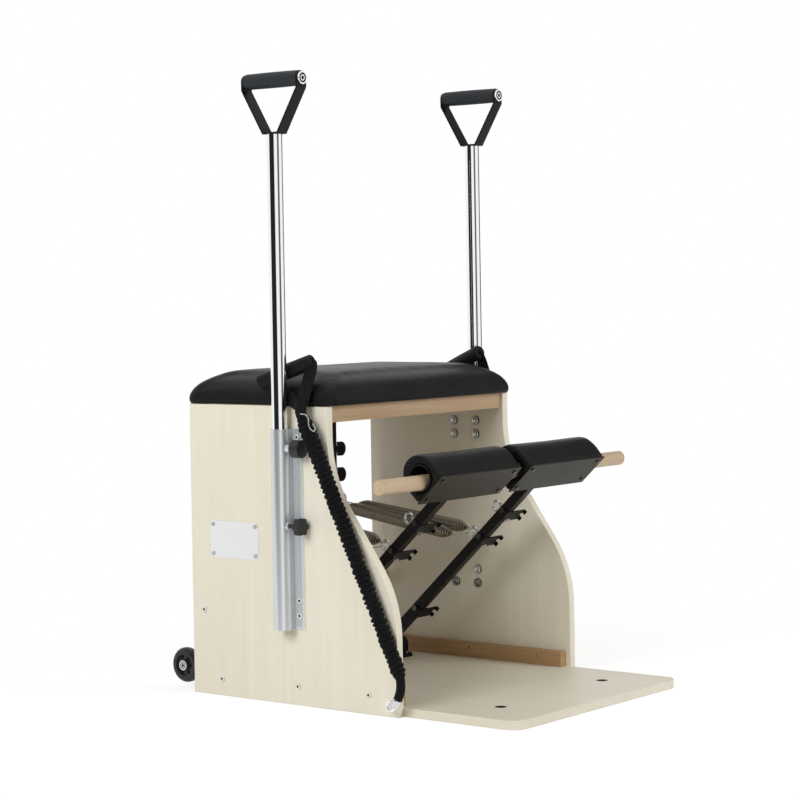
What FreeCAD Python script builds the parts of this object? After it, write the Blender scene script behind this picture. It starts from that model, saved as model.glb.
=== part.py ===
import FreeCAD, Part
import math
import os

# Pilates chair. Millimetres, +Z up, front towards -Y, origin under the middle of the base board.

V = FreeCAD.Vector

# Driving sizes of the wooden frame
chair_width = 612
panel_thickness = 18
panel_height = 600
panel_top_depth = 372
panel_foot_depth = 540
curve_top = 540
curve_radius = 240
curve_lean = 35.5
panel_edge_round = 1.5
board_length = 810
board_thickness = 18
board_corner = 30
rail_height = 32
rail_thickness = 20
front_rail_set_back = 7
rear_rail_inset = 42.5
rear_rail_thickness = 18
cross_rail_z = 175
cleat_thickness = 20
cleat_inset = 12
cut_overrun = 2
loose_gap = 0.3

# Seat
seat_board_thickness = 12
seat_board_inset = 10
cushion_side_overhang = 2
cushion_front_overhang = 15
cushion_rear_overhang = 13
cushion_corner = 22
cushion_pull_in = 4
cushion_levels = ((0, 1), (11, 0), (22, 2), (33, 7), (43, 15), (51, 26), (58, 43), (63, 68), (66, 104),
                  (67, 145))
loft_degree = 3

# Spring posts: flat bars with mushroom shaped pegs on both edges
post_x = 123
post_width = 30
post_thickness = 8
post_foot_z = 159
peg_heights = (306, 363, 420, 477)
peg_stem_height = 14
peg_stem_length = 10
peg_head_height = 31
peg_head_width = 22

# Pedal axle and its blocks
pivot_inset = 138
pivot_z = 45
axle_radius = 10
axle_half_length = 220
block_width = 26
block_inner_centre = 96
block_outer_centre = 203
block_arch_radius = 18
block_foot_half = 29
block_foot_height = 9
block_screw_offset = 23.5
bush_radius = 14
bush_half_length = 39.5
fit_gap = 0.05

# Pedal arms, in lengths along the arm from the axle and heights off its centre line
arm_angle = 43.1
arm_x = 149.5
arm_size = 20
arm_wall = 2
hub_radius = 18
hub_half_length = 38.5
tube_along = 616
tube_radius = 27
tube_wall = 3
pad_inner_x = 13
pad_outer_x = 288
pad_below_tube = 41
pad_length_along = 80
plate_front = 32
plate_end_inset = 5
plate_thickness = 3
pad_side_height = 20
pad_crown_height = 51
pad_side_bulge = 3
pad_end_steps = ((0, 3), (5, 1), (14, 0))
pad_waist = 1
pad_screw_inset_x = 20
pad_screw_inset_along = 12
pad_screw_length = 18

# Spring brackets, eye bolts and dowel
bracket_offsets = (131, 372, 457)
eye_offsets = (366, 451)
bracket_length = 28
bracket_thickness = 3
bracket_reach = 42
bracket_fold = 5
bracket_notch_width = 11
bracket_notch_depth = 10
bracket_cheek_height = 16
bracket_bolt_shift = 7
eye_height = 22.5
eye_ring_radius = 10.2
eye_wire_radius = 2.6
eye_collar_radius = 6
eye_nut_height = 5
dowel_radius = 15
dowel_half_length = 414

# Extension springs, two for each arm
spring_wire_radius = 1.5
spring_mean_radius = 11
spring_turns = 25
spring_rear_shank = 50
spring_straight = 4
spring_cone_turns = 2
spring_cone_radius = 4
spring_marks_per_turn = 16
spring_peg = 1
spring_low_front = (-19.5, 39, -5)
spring_high_front = (16.5, 23.9, 5.5)
loop_mean_radius = 11.5
hook_angle = 8
hook_spread_angle = 17
hook_overhang = 9

# Pole sockets, poles and handles
pole_stand_off = 23.4
pole_set_back = 103.5
pole_radius = 16
pole_wall = 2
pole_bottom = 200
pole_top = 1142.5
pole_gap = 0.08
socket_bottom = 154
socket_top = 555.5
socket_lobe_radius = 19
socket_flange_half = 40
socket_flange_thickness = 4.5
socket_web_half = 15
socket_screw_offset = 29.5
socket_screw_heights = (181.5, 211.5, 509, 538.5)
plunger_z = 517
clamp_z = 362
pin_radius = 4
pin_gap = 0.3
boss_radius = 8
plunger_boss_reach = 35.5
clamp_boss_reach = 22.5
plunger_knob_rear_reach = 36.1
plunger_knob_front_reach = 59.5
plunger_knob_radius = 18
plunger_tip_reach = 14.5
plunger_rim = 2
clamp_knob_rear_reach = 43
clamp_knob_front_reach = 57
clamp_core_radius = 14.5
clamp_lobe_radius = 5.4
clamp_lobe_centre = 12.8
clamp_lobes = 6
clamp_tip_gap = 0.5
slot_bottom = 420
slot_top = 525
grip_above_pole = 107.5
grip_radius = 16
grip_half_length = 70
frame_thickness = 4
frame_half_width = 14
frame_foot_half = 20
frame_knee_above_pole = 89.5
cap_radius = 13
cap_thickness = 3
cap_socket_radius = 4

# Wheels
wheel_radius = 36.5
wheel_width = 22
wheel_behind = 44
wheel_z = 49.5
wheel_bore_radius = 4
wheel_gap = 1
tyre_side_round = 9
hub_pocket_inner = 12
hub_pocket_outer = 22
hub_pocket_depth = 5
hub_hole_radius = 3.5
hub_hole_circle = 17
hub_holes = 6
wheel_plate_thickness = 5
wheel_plate_inset = 70
wheel_plate_top = 64
wheel_plate_tip = 13
axle_head_radius = 10.5
axle_head_height = 3
axle_nut_radius = 7
axle_nut_height = 6

# Fasteners, nameplate and board inserts
bolt_radius = 3
bolt_head_radius = 6
bolt_head_height = 3
frame_bolt_length = 34
washer_radius = 10
washer_thickness = 3
bolt_end_stand = 1
screw_radius = 2
screw_head_radius = 4
screw_head_height = 2.5
screw_length = 16
cleat_bolt_insets = (80, 286, 468)
cleat_bolt_heights = (35, 38, 38)
plate_inset = 120.5
plate_z = 323
plate_length = 132
plate_height = 76
plate_corner = 6
nameplate_thickness = 1.5
plate_screw_inset = 8
insert_x = 178
insert_inset = 118
insert_radius = 12
insert_depth = 12
insert_wall = 2.5
insert_screw_length = 7.5

# Elastic straps
left_route = ((26, 42, 583), (17, -187, 86), (17, -189.5, 68.2), (17, -186.4, 50.5), (17, -178.2, 34.4),
              (17, -172.5, 26.2))
right_route = ((40, 70, 583), (60, 89, 545), (60, 67, 330), (17, -73, 86), (17, -75.5, 68.2),
               (17, -72.4, 50.5), (17, -64.2, 34.4), (17, -58.5, 26.2))
smooth_points = 4
bungee_ribs = 50
bungee_core_radius = 10
bungee_rib_radius = 14.5
bungee_end_radius = 9
bungee_cone_ribs = 4
bungee_rib_shares = (0, 0.3, 0.55, 0.85)
left_ring = (26, 45, 594)
right_ring = (34, 72, 594)
strap_turn = (5.8, 79, 613)
grip_low = (5, 172, 646)
grip_high = (-25, 54, 690)
strap_grip_radius = 15.5
strap_width = 25
strap_thickness = 2
ring_mean_radius = 9
ring_wire_radius = 2.5
anchor_stem_radius = 3
anchor_stem_depth = 12

panel_outer = chair_width / 2
panel_inner = panel_outer - panel_thickness
rear_edge = board_length / 2
panel_top_y = rear_edge - panel_top_depth
panel_foot_y = rear_edge - panel_foot_depth
front_rail_y = panel_top_y + front_rail_set_back
rear_rail_y = rear_edge - rear_rail_inset
post_y = rear_rail_y + rear_rail_thickness
cushion_half_width = panel_outer + cushion_side_overhang
cushion_front_y = panel_top_y - cushion_front_overhang
cushion_rear_y = rear_edge + cushion_rear_overhang
pivot_y = rear_edge - pivot_inset
pad_low_along = tube_along - pad_below_tube
pole_x = panel_outer + pole_stand_off
pole_y = panel_top_y + pole_set_back
grip_z = pole_top + grip_above_pole
frame_knee_z = pole_top + frame_knee_above_pole
plunger_boss_y = pole_y - plunger_boss_reach
clamp_boss_y = pole_y - clamp_boss_reach
plunger_knob_rear_y = pole_y - plunger_knob_rear_reach
plunger_knob_front_y = pole_y - plunger_knob_front_reach
plunger_tip_y = pole_y - plunger_tip_reach
clamp_knob_rear_y = pole_y - clamp_knob_rear_reach
clamp_knob_front_y = pole_y - clamp_knob_front_reach
wheel_y = rear_edge + wheel_behind
wheel_plate_front_y = rear_edge - wheel_plate_inset
cross_bolt_place = (rear_rail_y + rear_rail_thickness / 2, cross_rail_z)
cleat_bolt_places = [(rear_edge - inset, z) for inset, z in zip(cleat_bolt_insets, cleat_bolt_heights)]
frame_bolt_places = [cross_bolt_place] + cleat_bolt_places
plate_y = rear_edge - plate_inset
insert_y = insert_inset - rear_edge
loop_reach = loop_mean_radius - spring_wire_radius - loose_gap
loop_seat = math.sqrt(loop_reach ** 2 - (peg_stem_height / 2) ** 2)
spring_rear_y = post_y + post_thickness - loop_seat
spring_level_z = peg_heights[spring_peg]
cleat_inner = panel_inner - cleat_thickness
cleat_front_y = panel_foot_y + cleat_inset
cleat_rear_y = rear_edge - cleat_inset
cleat_top = board_thickness + rail_height
sides = (-1, 1)


def box(x0, x1, y0, y1, z0, z1):
    """Box between two corners."""
    low = V(min(x0, x1), min(y0, y1), min(z0, z1))
    return Part.makeBox(abs(x1 - x0), abs(y1 - y0), abs(z1 - z0), low)


def rod(radius, start, end):
    """Round bar between two points."""
    a = V(*start)
    b = V(*end)
    return Part.makeCylinder(radius, (b - a).Length, a, b - a)


def bar(radius, x0, x1, y, z):
    """Round bar along X."""
    return rod(radius, (x0, y, z), (x1, y, z))


def side_prism(outline, x0, x1):
    """Prism along X over a closed outline of (y, z) points."""
    points = [V(x0, y, z) for y, z in outline]
    return Part.Face(Part.makePolygon(points + points[:1])).extrude(V(x1 - x0, 0, 0))


def joined(shapes):
    """One solid out of several that touch or overlap."""
    return shapes[0].fuse(shapes[1:]).removeSplitter()


def cut(shape, tools):
    """Shape with every tool taken away."""
    return shape.cut(Part.makeCompound(tools))


def mirrored(shape):
    """The same shape on the other side of the chair."""
    return shape.mirror(V(0, 0, 0), V(1, 0, 0))


def both_sides(shapes):
    """A group of separate solids, each with its mirror image."""
    return Part.makeCompound([s for shape in shapes for s in (shape, mirrored(shape))])


def round_bolt(start, direction, length, radius, head_radius, head_height):
    """Button headed bolt: the head stands on start, the shank goes along direction."""
    shank = Part.makeCylinder(radius, length, start, direction)
    head = Part.makeCylinder(head_radius, head_height, start - direction * head_height, direction)
    return joined([shank, head])


def save(name, shape):
    """Write one node and say what it holds."""
    shape.exportStep("parts/" + name + ".step")
    print(name, len(shape.Solids), shape.isValid(), round(shape.Volume))


def swung(shape):
    """A pedal shape, drawn level along -Y from the axle, put in its raised place."""
    placed = shape.copy()
    placed.rotate(V(0, 0, 0), V(1, 0, 0), -arm_angle)
    placed.translate(V(0, pivot_y, pivot_z))
    return placed


# Side panels


def panel_outline():
    """Wire of the left panel's outer face, with its S shaped front edge."""
    lean = math.radians(curve_lean)
    step = panel_top_y - panel_foot_y
    run = (step - curve_radius * (1 - math.cos(lean)) * 2) / math.sin(lean)

    def at(y, z):
        return V(-panel_outer, y, z)

    def upper(angle):
        centre_y = panel_top_y - curve_radius
        return at(centre_y + curve_radius * math.cos(angle), curve_top - curve_radius * math.sin(angle))

    knee = upper(lean)
    heel = knee + V(0, -math.sin(lean), -math.cos(lean)) * run
    centre = heel + V(0, math.cos(lean), -math.sin(lean)) * curve_radius

    def lower(angle):
        return centre - V(0, math.cos(angle), -math.sin(angle)) * curve_radius

    rear_low = at(rear_edge, 0)
    rear_high = at(rear_edge, panel_height)
    front_high = at(panel_top_y, panel_height)
    front_low = at(panel_foot_y, 0)
    edges = [
        Part.LineSegment(rear_low, rear_high),
        Part.LineSegment(rear_high, front_high),
        Part.LineSegment(front_high, upper(0)),
        Part.Arc(upper(0), upper(lean / 2), knee),
        Part.LineSegment(knee, heel),
        Part.Arc(heel, lower(lean / 2), lower(0)),
        Part.LineSegment(lower(0), front_low),
        Part.LineSegment(front_low, rear_low),
    ]
    return Part.Wire([edge.toShape() for edge in edges])


def socket_screw_places():
    """(y, z) of the screws that hold a pole socket."""
    offsets = (-socket_screw_offset, socket_screw_offset)
    return [(pole_y + dy, z) for z in socket_screw_heights for dy in offsets]


def frame_bolts():
    """Left side's frame bolts."""
    return [
        round_bolt(V(-panel_outer, y, z), V(1, 0, 0), frame_bolt_length,
                   bolt_radius, bolt_head_radius, bolt_head_height)
        for y, z in frame_bolt_places
    ]


def socket_screws():
    """Left side's socket screws, which end just past their washers."""
    head_x = -panel_outer - socket_flange_thickness
    length = socket_flange_thickness + panel_thickness + washer_thickness + bolt_end_stand
    return [
        round_bolt(V(head_x, y, z), V(1, 0, 0), length, bolt_radius, bolt_head_radius, bolt_head_height)
        for y, z in socket_screw_places()
    ]


def bolt_holes(places, x0, x1):
    """Clearance holes along X for bolts."""
    return [bar(bolt_radius + loose_gap, x0, x1, y, z) for y, z in places]


def plain_panel():
    """Left panel before the nameplate's screw holes."""
    body = Part.Face(panel_outline()).extrude(V(panel_thickness, 0, 0))
    long_edges = [e for e in body.Edges if abs(e.BoundBox.XLength) < loose_gap]
    body = body.makeFillet(panel_edge_round, long_edges)
    places = frame_bolt_places + socket_screw_places()
    return cut(body, bolt_holes(places, -panel_outer - cut_overrun, -panel_inner + cut_overrun))


def nameplate():
    """Bare plate on the left panel."""
    x1 = -panel_outer
    body = box(x1 - nameplate_thickness, x1, plate_y - plate_length / 2, plate_y + plate_length / 2,
               plate_z - plate_height / 2, plate_z + plate_height / 2)
    corners = [e for e in body.Edges if e.BoundBox.YLength + e.BoundBox.ZLength < loose_gap]
    return body.makeFillet(plate_corner, corners)


def nameplate_screws():
    """Four small screws at the plate's corners."""
    dy = plate_length / 2 - plate_screw_inset
    dz = plate_height / 2 - plate_screw_inset
    head = V(-panel_outer - nameplate_thickness, plate_y, plate_z)
    return [
        round_bolt(head + V(0, a * dy, b * dz), V(1, 0, 0), screw_length,
                   screw_radius, screw_head_radius, screw_head_height)
        for a in sides for b in sides
    ]


# Base board, rails and cleats


def axle_block_centres():
    return [side * x for side in sides for x in (block_inner_centre, block_outer_centre)]


def block_screws():
    """Two screws down through the feet of every axle block."""
    top = board_thickness + block_foot_height
    return [
        round_bolt(V(x, pivot_y + side * block_screw_offset, top), V(0, 0, -1), screw_length,
                   screw_radius, screw_head_radius, screw_head_height)
        for x in axle_block_centres() for side in sides
    ]


def insert_screws():
    """One screw in the floor of each board insert."""
    floor_z = board_thickness - insert_depth + insert_wall
    return [
        round_bolt(V(side * insert_x, insert_y, floor_z), V(0, 0, -1), insert_screw_length,
                   screw_radius, screw_head_radius, screw_head_height)
        for side in sides
    ]


def wheel_plate_screws():
    """Two screws through the left wheel plate into its cleat."""
    x = -cleat_inner + wheel_plate_thickness
    z = (board_thickness + cleat_top) / 2
    places = (wheel_plate_front_y + wheel_plate_tip, cleat_rear_y - wheel_plate_tip)
    return [
        round_bolt(V(x, y, z), V(-1, 0, 0), screw_length,
                   screw_radius, screw_head_radius, screw_head_height)
        for y in places
    ]


def grown(screw_list):
    """Clearance holes for short screws: each screw's own box axis with a wider shank."""
    holes = []
    for screw in screw_list:
        b = screw.BoundBox
        spans = (b.XLength, b.YLength, b.ZLength)
        axis = spans.index(max(spans))
        middle = b.Center
        reach = V(*[span / 2 + cut_overrun if i == axis else 0 for i, span in enumerate(spans)])
        holes.append(rod(screw_radius + loose_gap, middle - reach, middle + reach))
    return holes


def base_board():
    body = box(-panel_inner, panel_inner, -rear_edge, rear_edge, 0, board_thickness)
    corners = [e for e in body.Edges
               if e.BoundBox.ZLength > board_thickness / 2 and e.BoundBox.YMax < 0]
    body = body.makeFillet(board_corner, corners)
    cups = [
        rod(insert_radius + loose_gap, (side * insert_x, insert_y, board_thickness - insert_depth),
            (side * insert_x, insert_y, board_thickness + cut_overrun))
        for side in sides
    ]
    return cut(body, cups + grown(block_screws()) + grown(insert_screws()))


def rail(y0, y1, z1):
    return box(-panel_inner, panel_inner, y0, y1, z1 - rail_height, z1)


def rear_cross_rail():
    body = rail(rear_rail_y, post_y, cross_rail_z + rail_height / 2)
    ends = bolt_holes([cross_bolt_place], -panel_outer, -panel_outer + frame_bolt_length + cut_overrun)
    return cut(body, ends + [mirrored(hole) for hole in ends])


def left_cleat():
    body = box(-panel_inner, -cleat_inner, cleat_front_y, cleat_rear_y, board_thickness, cleat_top)
    holes = bolt_holes(cleat_bolt_places, -panel_outer, -cleat_inner + cut_overrun)
    return cut(body, holes + grown(wheel_plate_screws()))


def board_insert(side):
    """Recessed cup with a screw in its floor."""
    foot = V(side * insert_x, insert_y, board_thickness - insert_depth)
    cup = Part.makeCylinder(insert_radius, insert_depth, foot)
    well = Part.makeCylinder(insert_radius - insert_wall, insert_depth, foot + V(0, 0, insert_wall))
    hole = Part.makeCylinder(screw_radius + loose_gap, insert_depth, foot - V(0, 0, cut_overrun))
    return cut(cup, [well, hole])


# Seat


def cushion_ring(rise, inset):
    """Closed outline of the cushion at one height: pulled in sides between round corners."""
    half = cushion_half_width - inset
    front = cushion_front_y + inset
    rear = cushion_rear_y - inset
    z = panel_height + rise
    diagonal_share = 1 - math.sqrt(0.5)
    c = cushion_corner
    k = cushion_corner * diagonal_share
    middle_y = (front + rear) / 2
    arcs = [
        ((-half + c, front), (0, front + cushion_pull_in), (half - c, front)),
        ((half - c, front), (half - k, front + k), (half, front + c)),
        ((half, front + c), (half - cushion_pull_in, middle_y), (half, rear - c)),
        ((half, rear - c), (half - k, rear - k), (half - c, rear)),
        ((half - c, rear), (0, rear - cushion_pull_in), (-half + c, rear)),
        ((-half + c, rear), (-half + k, rear - k), (-half, rear - c)),
        ((-half, rear - c), (-half + cushion_pull_in, middle_y), (-half, front + c)),
        ((-half, front + c), (-half + k, front + k), (-half + c, front)),
    ]
    return Part.Wire([Part.Arc(*[V(x, y, z) for x, y in points]).toShape() for points in arcs])


def seat_board():
    """Plywood board let into the underside of the cushion."""
    return box(-cushion_half_width + seat_board_inset, cushion_half_width - seat_board_inset,
               cushion_front_y + seat_board_inset, cushion_rear_y - seat_board_inset,
               panel_height, panel_height + seat_board_thickness)


def seat_cushion():
    rings = [cushion_ring(rise, inset) for rise, inset in cushion_levels]
    body = Part.makeLoft(rings, True, False, False, loft_degree)
    return body.cut(seat_board())


# Spring posts


def peg(x, outward, z):
    """Mushroom peg on one edge of a post: a short stem and a head with a round outer side."""
    stem_end = x + outward * peg_stem_length
    stem = box(x - outward * cut_overrun, stem_end + outward * cut_overrun, post_y, post_y + post_thickness,
               z - peg_stem_height / 2, z + peg_stem_height / 2)
    low = V(stem_end, post_y, z - peg_head_height / 2)
    high = V(stem_end, post_y, z + peg_head_height / 2)
    nose = V(stem_end + outward * peg_head_width, post_y, z)
    shoulder = peg_head_width / 2
    low_edge = low + V(outward * shoulder, 0, 0)
    high_edge = high + V(outward * shoulder, 0, 0)
    outline = Part.Wire([
        Part.LineSegment(high, low).toShape(),
        Part.LineSegment(low, low_edge).toShape(),
        Part.Arc(low_edge, nose, high_edge).toShape(),
        Part.LineSegment(high_edge, high).toShape(),
    ])
    return [stem, Part.Face(outline).extrude(V(0, post_thickness, 0))]


def right_post():
    low_x = post_x - post_width / 2
    high_x = post_x + post_width / 2
    bar = box(low_x, high_x, post_y, post_y + post_thickness, post_foot_z, panel_height)
    pegs = [piece for z in peg_heights for piece in peg(low_x, -1, z) + peg(high_x, 1, z)]
    return joined([bar] + pegs)


# Pedal axle


def axle_block(x):
    """Arched block that carries the axle over the base board."""
    x0 = x - block_width / 2
    x1 = x + block_width / 2
    foot = box(x0, x1, pivot_y - block_foot_half, pivot_y + block_foot_half,
               board_thickness, board_thickness + block_foot_height)
    wall = box(x0, x1, pivot_y - block_arch_radius, pivot_y + block_arch_radius, board_thickness, pivot_z)
    arch = bar(block_arch_radius, x0, x1, pivot_y, pivot_z)
    bore = bar(axle_radius + fit_gap, x0 - cut_overrun, x1 + cut_overrun, pivot_y, pivot_z)
    return cut(joined([foot, wall, arch]), [bore] + grown(block_screws()))


def axle_bush(side):
    """Plain sleeve on the axle that an arm's hub turns on."""
    x0 = side * arm_x - bush_half_length
    x1 = side * arm_x + bush_half_length
    body = bar(bush_radius, x0, x1, pivot_y, pivot_z)
    bore = bar(axle_radius + fit_gap, x0 - cut_overrun, x1 + cut_overrun, pivot_y, pivot_z)
    return body.cut(bore)


# Pedals, drawn level along -Y from the axle


def pad_span(side):
    """X of a pad's inner and outer end."""
    return side * pad_inner_x, side * pad_outer_x


def arm_blank(x, gap, start):
    """Outside of the square arm, wider by gap on every side."""
    half = arm_size / 2 + gap
    return box(x - half, x + half, -tube_along, -start, -half, half)


def cross_bolt_holes(x):
    """Holes through an arm for its bracket bolts and eye bolts."""
    reach = arm_size
    radius = bolt_radius + loose_gap
    bolts = [
        bar(radius, x - reach, x + reach, -s - bracket_bolt_shift, 0)
        for s in bracket_offsets
    ]
    eyes = [rod(radius, (x, -s, -reach), (x, -s, reach)) for s in eye_offsets]
    return bolts + eyes


def arm(side):
    """Arm tube welded to its hub and to the cross tube of the pad."""
    x = side * arm_x
    inner_x, outer_x = pad_span(side)
    blank = arm_blank(x, 0, 0)
    hub = bar(hub_radius, x - hub_half_length, x + hub_half_length, 0, 0)
    cross = bar(tube_radius, inner_x, outer_x, -tube_along, 0)
    body = joined([blank, hub, cross])
    inner = arm_size / 2 - arm_wall
    hollow = box(x - inner, x + inner, -tube_along + tube_radius, -hub_radius, -inner, inner)
    reach = side * cut_overrun
    bore = bar(tube_radius - tube_wall, inner_x - reach, outer_x + reach, -tube_along, 0)
    hub_reach = hub_half_length + cut_overrun
    hub_bore = bar(bush_radius + fit_gap, x - hub_reach, x + hub_reach, 0, 0)
    return swung(cut(body, [hollow, bore, hub_bore] + cross_bolt_holes(x)))


def pad_section(x, inset):
    """Bread-loaf outline of a pad across its length, drawn in by inset."""
    low = -plate_front + plate_thickness
    a = -pad_low_along - inset
    b = -pad_low_along - pad_length_along + inset
    shoulder = pad_side_height - inset
    crown = pad_crown_height - inset
    middle = (a + b) / 2
    side_z = (low + shoulder) / 2
    return Part.Wire([
        Part.LineSegment(V(x, b, low), V(x, a, low)).toShape(),
        Part.Arc(V(x, a, low), V(x, a + pad_side_bulge, side_z), V(x, a, shoulder)).toShape(),
        Part.Arc(V(x, a, shoulder), V(x, middle, crown), V(x, b, shoulder)).toShape(),
        Part.Arc(V(x, b, shoulder), V(x, b - pad_side_bulge, side_z), V(x, b, low)).toShape(),
    ])


def pad_screw_places(side):
    """(x, y) of the four screws of a pad plate."""
    inner_x, outer_x = pad_span(side)
    inset = side * pad_screw_inset_x
    high_along = pad_low_along + pad_length_along
    along = (pad_low_along + pad_screw_inset_along, high_along - pad_screw_inset_along)
    return [(x, -s) for x in (inner_x + inset, outer_x - inset) for s in along]


def pad_screw_holes(side):
    low = -plate_front - cut_overrun
    high = -plate_front + pad_screw_length + cut_overrun
    return [rod(screw_radius + loose_gap, (x, y, low), (x, y, high)) for x, y in pad_screw_places(side)]


def pad(side):
    """Padded cover round the cross tube, crowned, with ends and sides drawn in."""
    inner_x, outer_x = pad_span(side)
    stations = [(inner_x + side * run, inset) for run, inset in pad_end_steps]
    stations.append(((inner_x + outer_x) / 2, pad_waist))
    stations += [(outer_x - side * run, inset) for run, inset in reversed(pad_end_steps)]
    body = Part.makeLoft([pad_section(x, inset) for x, inset in stations], True, True)
    reach = side * cut_overrun
    hole = bar(tube_radius + loose_gap, inner_x - reach, outer_x + reach, -tube_along, 0)
    slot = arm_blank(side * arm_x, loose_gap, pad_low_along - pad_length_along)
    return swung(cut(body, [hole, slot] + pad_screw_holes(side)))


def pad_plate(side):
    inner_x, outer_x = pad_span(side)
    inset = side * plate_end_inset
    low = -plate_front
    high_along = pad_low_along + pad_length_along
    body = box(inner_x + inset, outer_x - inset, -high_along, -pad_low_along, low, low + plate_thickness)
    return swung(cut(body, pad_screw_holes(side)))


def pedal_screws(side):
    """Pad screws and bracket bolts of one pedal."""
    pad_set = [
        round_bolt(V(x, y, -plate_front), V(0, 0, 1), pad_screw_length,
                   screw_radius, screw_head_radius, screw_head_height)
        for x, y in pad_screw_places(side)
    ]
    cheek = side * arm_x - arm_size / 2 - bracket_thickness
    bolt_set = [
        round_bolt(V(cheek, -s - bracket_bolt_shift, 0), V(1, 0, 0),
                   arm_size + bracket_thickness + bolt_end_stand,
                   bolt_radius, bolt_head_radius, bolt_head_height)
        for s in bracket_offsets
    ]
    return Part.makeCompound([swung(s) for s in pad_set + bolt_set])


def bracket(side, station):
    """Bracket: a tab under the arm that forks at its +X end, and a cheek on the arm's -X side."""
    x = side * arm_x
    half = arm_size / 2
    y0 = -station - bracket_length / 2
    y1 = -station + bracket_length / 2
    low_x = x - half - bracket_thickness
    end_x = x + half + bracket_reach
    under = -half - bracket_thickness
    tab = box(low_x, end_x, y0, y1, under, -half)
    fold = box(end_x - bracket_thickness, end_x, y0, y1, under - bracket_fold, -half)
    cheek = box(low_x, x - half, y0, y1, under, under + bracket_cheek_height)
    notch = box(end_x - bracket_notch_depth, end_x + cut_overrun, -station - bracket_notch_width / 2,
                -station + bracket_notch_width / 2, under - bracket_fold - cut_overrun, -half + cut_overrun)
    return swung(cut(joined([tab, fold, cheek]), cross_bolt_holes(x) + [notch]))


def ring(centre, mean_radius, wire_radius, normal):
    return Part.makeTorus(mean_radius, wire_radius, V(*centre), V(*normal))


def eye_bolt(side, station):
    """Eye bolt through the arm, with its ring on the upper rear side and its nut below."""
    x = side * arm_x
    half = arm_size / 2
    y = -station
    foot = -half - bracket_thickness
    eye = ring((x, y, eye_height), eye_ring_radius, eye_wire_radius, (1, 0, 0))
    collar_top = eye_height - eye_ring_radius
    collar = rod(eye_collar_radius, (x, y, half), (x, y, collar_top))
    shank = rod(bolt_radius, (x, y, foot), (x, y, collar_top))
    nut = rod(eye_collar_radius, (x, y, foot - eye_nut_height), (x, y, foot))
    return swung(joined([collar, eye, shank, nut]))


def tube_centre():
    """Middle of the cross tubes' bores, in the chair's frame."""
    angle = math.radians(arm_angle)
    return pivot_y - tube_along * math.cos(angle), pivot_z + tube_along * math.sin(angle)


def connecting_dowel():
    """Dowel lying in the bottom of both bores."""
    y, z = tube_centre()
    drop = tube_radius - tube_wall - dowel_radius - loose_gap
    return bar(dowel_radius, -dowel_half_length, dowel_half_length, y, z - drop)


# Springs


def spring_lines(side):
    """Rear and front end of the centre line of an arm's two springs."""
    stem = peg_stem_length / 2 + post_width / 2
    arm_centre = side * arm_x
    eye_y, eye_z = eye_point()
    lines = []
    for hand, (shift, back, rise) in zip(sides, (spring_low_front, spring_high_front)):
        rear = V(side * post_x + hand * stem, spring_rear_y, spring_level_z)
        front = V(arm_centre + shift, eye_y + back, eye_z + rise)
        lines.append((rear, front))
    return lines


def arc_with_tangent(start, corner, end):
    """Arc from start to end whose end tangents meet at corner."""
    middle = (start + end) / 2
    rise = corner - middle
    half_chord = (end - start).Length / 2
    turn = math.atan2(rise.Length, half_chord) * 2
    sagitta = half_chord * math.tan(turn / 4)
    return Part.Arc(start, middle + rise.normalize() * sagitta, end).toShape()


def biarc(p, t, q, u):
    """Two arcs that leave p along t and reach q along u."""
    chord = q - p
    both = t + u
    spread = (1 - t.dot(u)) * 2
    push = chord.dot(both)
    reach = (math.sqrt(push * push + chord.dot(chord) * spread) - push) / spread
    first = p + t * reach
    last = q - u * reach
    joint = (first + last) / 2
    return [arc_with_tangent(p, first, joint), arc_with_tangent(joint, last, q)]


def spring_frame(rear, front):
    """Along, across and up directions of a spring."""
    along = (front - rear).normalize()
    across = along.cross(V(0, 0, 1)).normalize()
    return along, across, across.cross(along)


def spring_path(rear, front):
    """Point at any turn of the coil, and the coil's length."""
    along, across, up = spring_frame(rear, front)
    start = rear + along * (spring_rear_shank + spring_straight * 2)
    length = (front - start).Length - spring_straight * 2

    def point(turn):
        edge = min(turn, spring_turns - turn) / spring_cone_turns
        grow = min(1, max(0, edge))
        radius = spring_cone_radius + (spring_mean_radius - spring_cone_radius) * grow
        angle = math.pi * 2 * turn
        return (start + along * (length * turn / spring_turns)
                + across * (radius * math.cos(angle)) + up * (radius * math.sin(angle)))

    return point, along, start, length


def spring(rear, front):
    """One spring as a single bent wire, with straight ends on its centre line."""
    point, along, start, length = spring_path(rear, front)
    step_share = 1e-4

    def tangent(turn):
        return (point(turn + step_share) - point(turn - step_share)).normalize()

    halves = spring_turns * 2
    stations = [(point(i / 2), tangent(i / 2)) for i in range(halves + 1)]
    first = start - along * spring_straight
    last = start + along * (length + spring_straight)
    stations = [(first, along)] + stations + [(last, along)]
    edges = [Part.LineSegment(first - along * spring_straight, first).toShape()]
    for (p, t), (q, u) in zip(stations, stations[1:]):
        edges += biarc(p, t, q, u)
    edges.append(Part.LineSegment(last, last + along * spring_straight).toShape())
    path = Part.Wire(edges)
    section = Part.Wire(Part.Circle(first - along * spring_straight, along, spring_wire_radius).toShape())
    return path.makePipeShell([section], True, False)


def spring_gap(rear, front):
    """Least gap between turns of one spring, measured on points of the wire."""
    point = spring_path(rear, front)[0]
    marks = spring_turns * spring_marks_per_turn
    points = [point(i / spring_marks_per_turn) for i in range(marks + 1)]
    apart = spring_marks_per_turn // 2
    least = min((p - q).Length for i, p in enumerate(points) for q in points[i + apart:])
    return least - spring_wire_radius * 2


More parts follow.
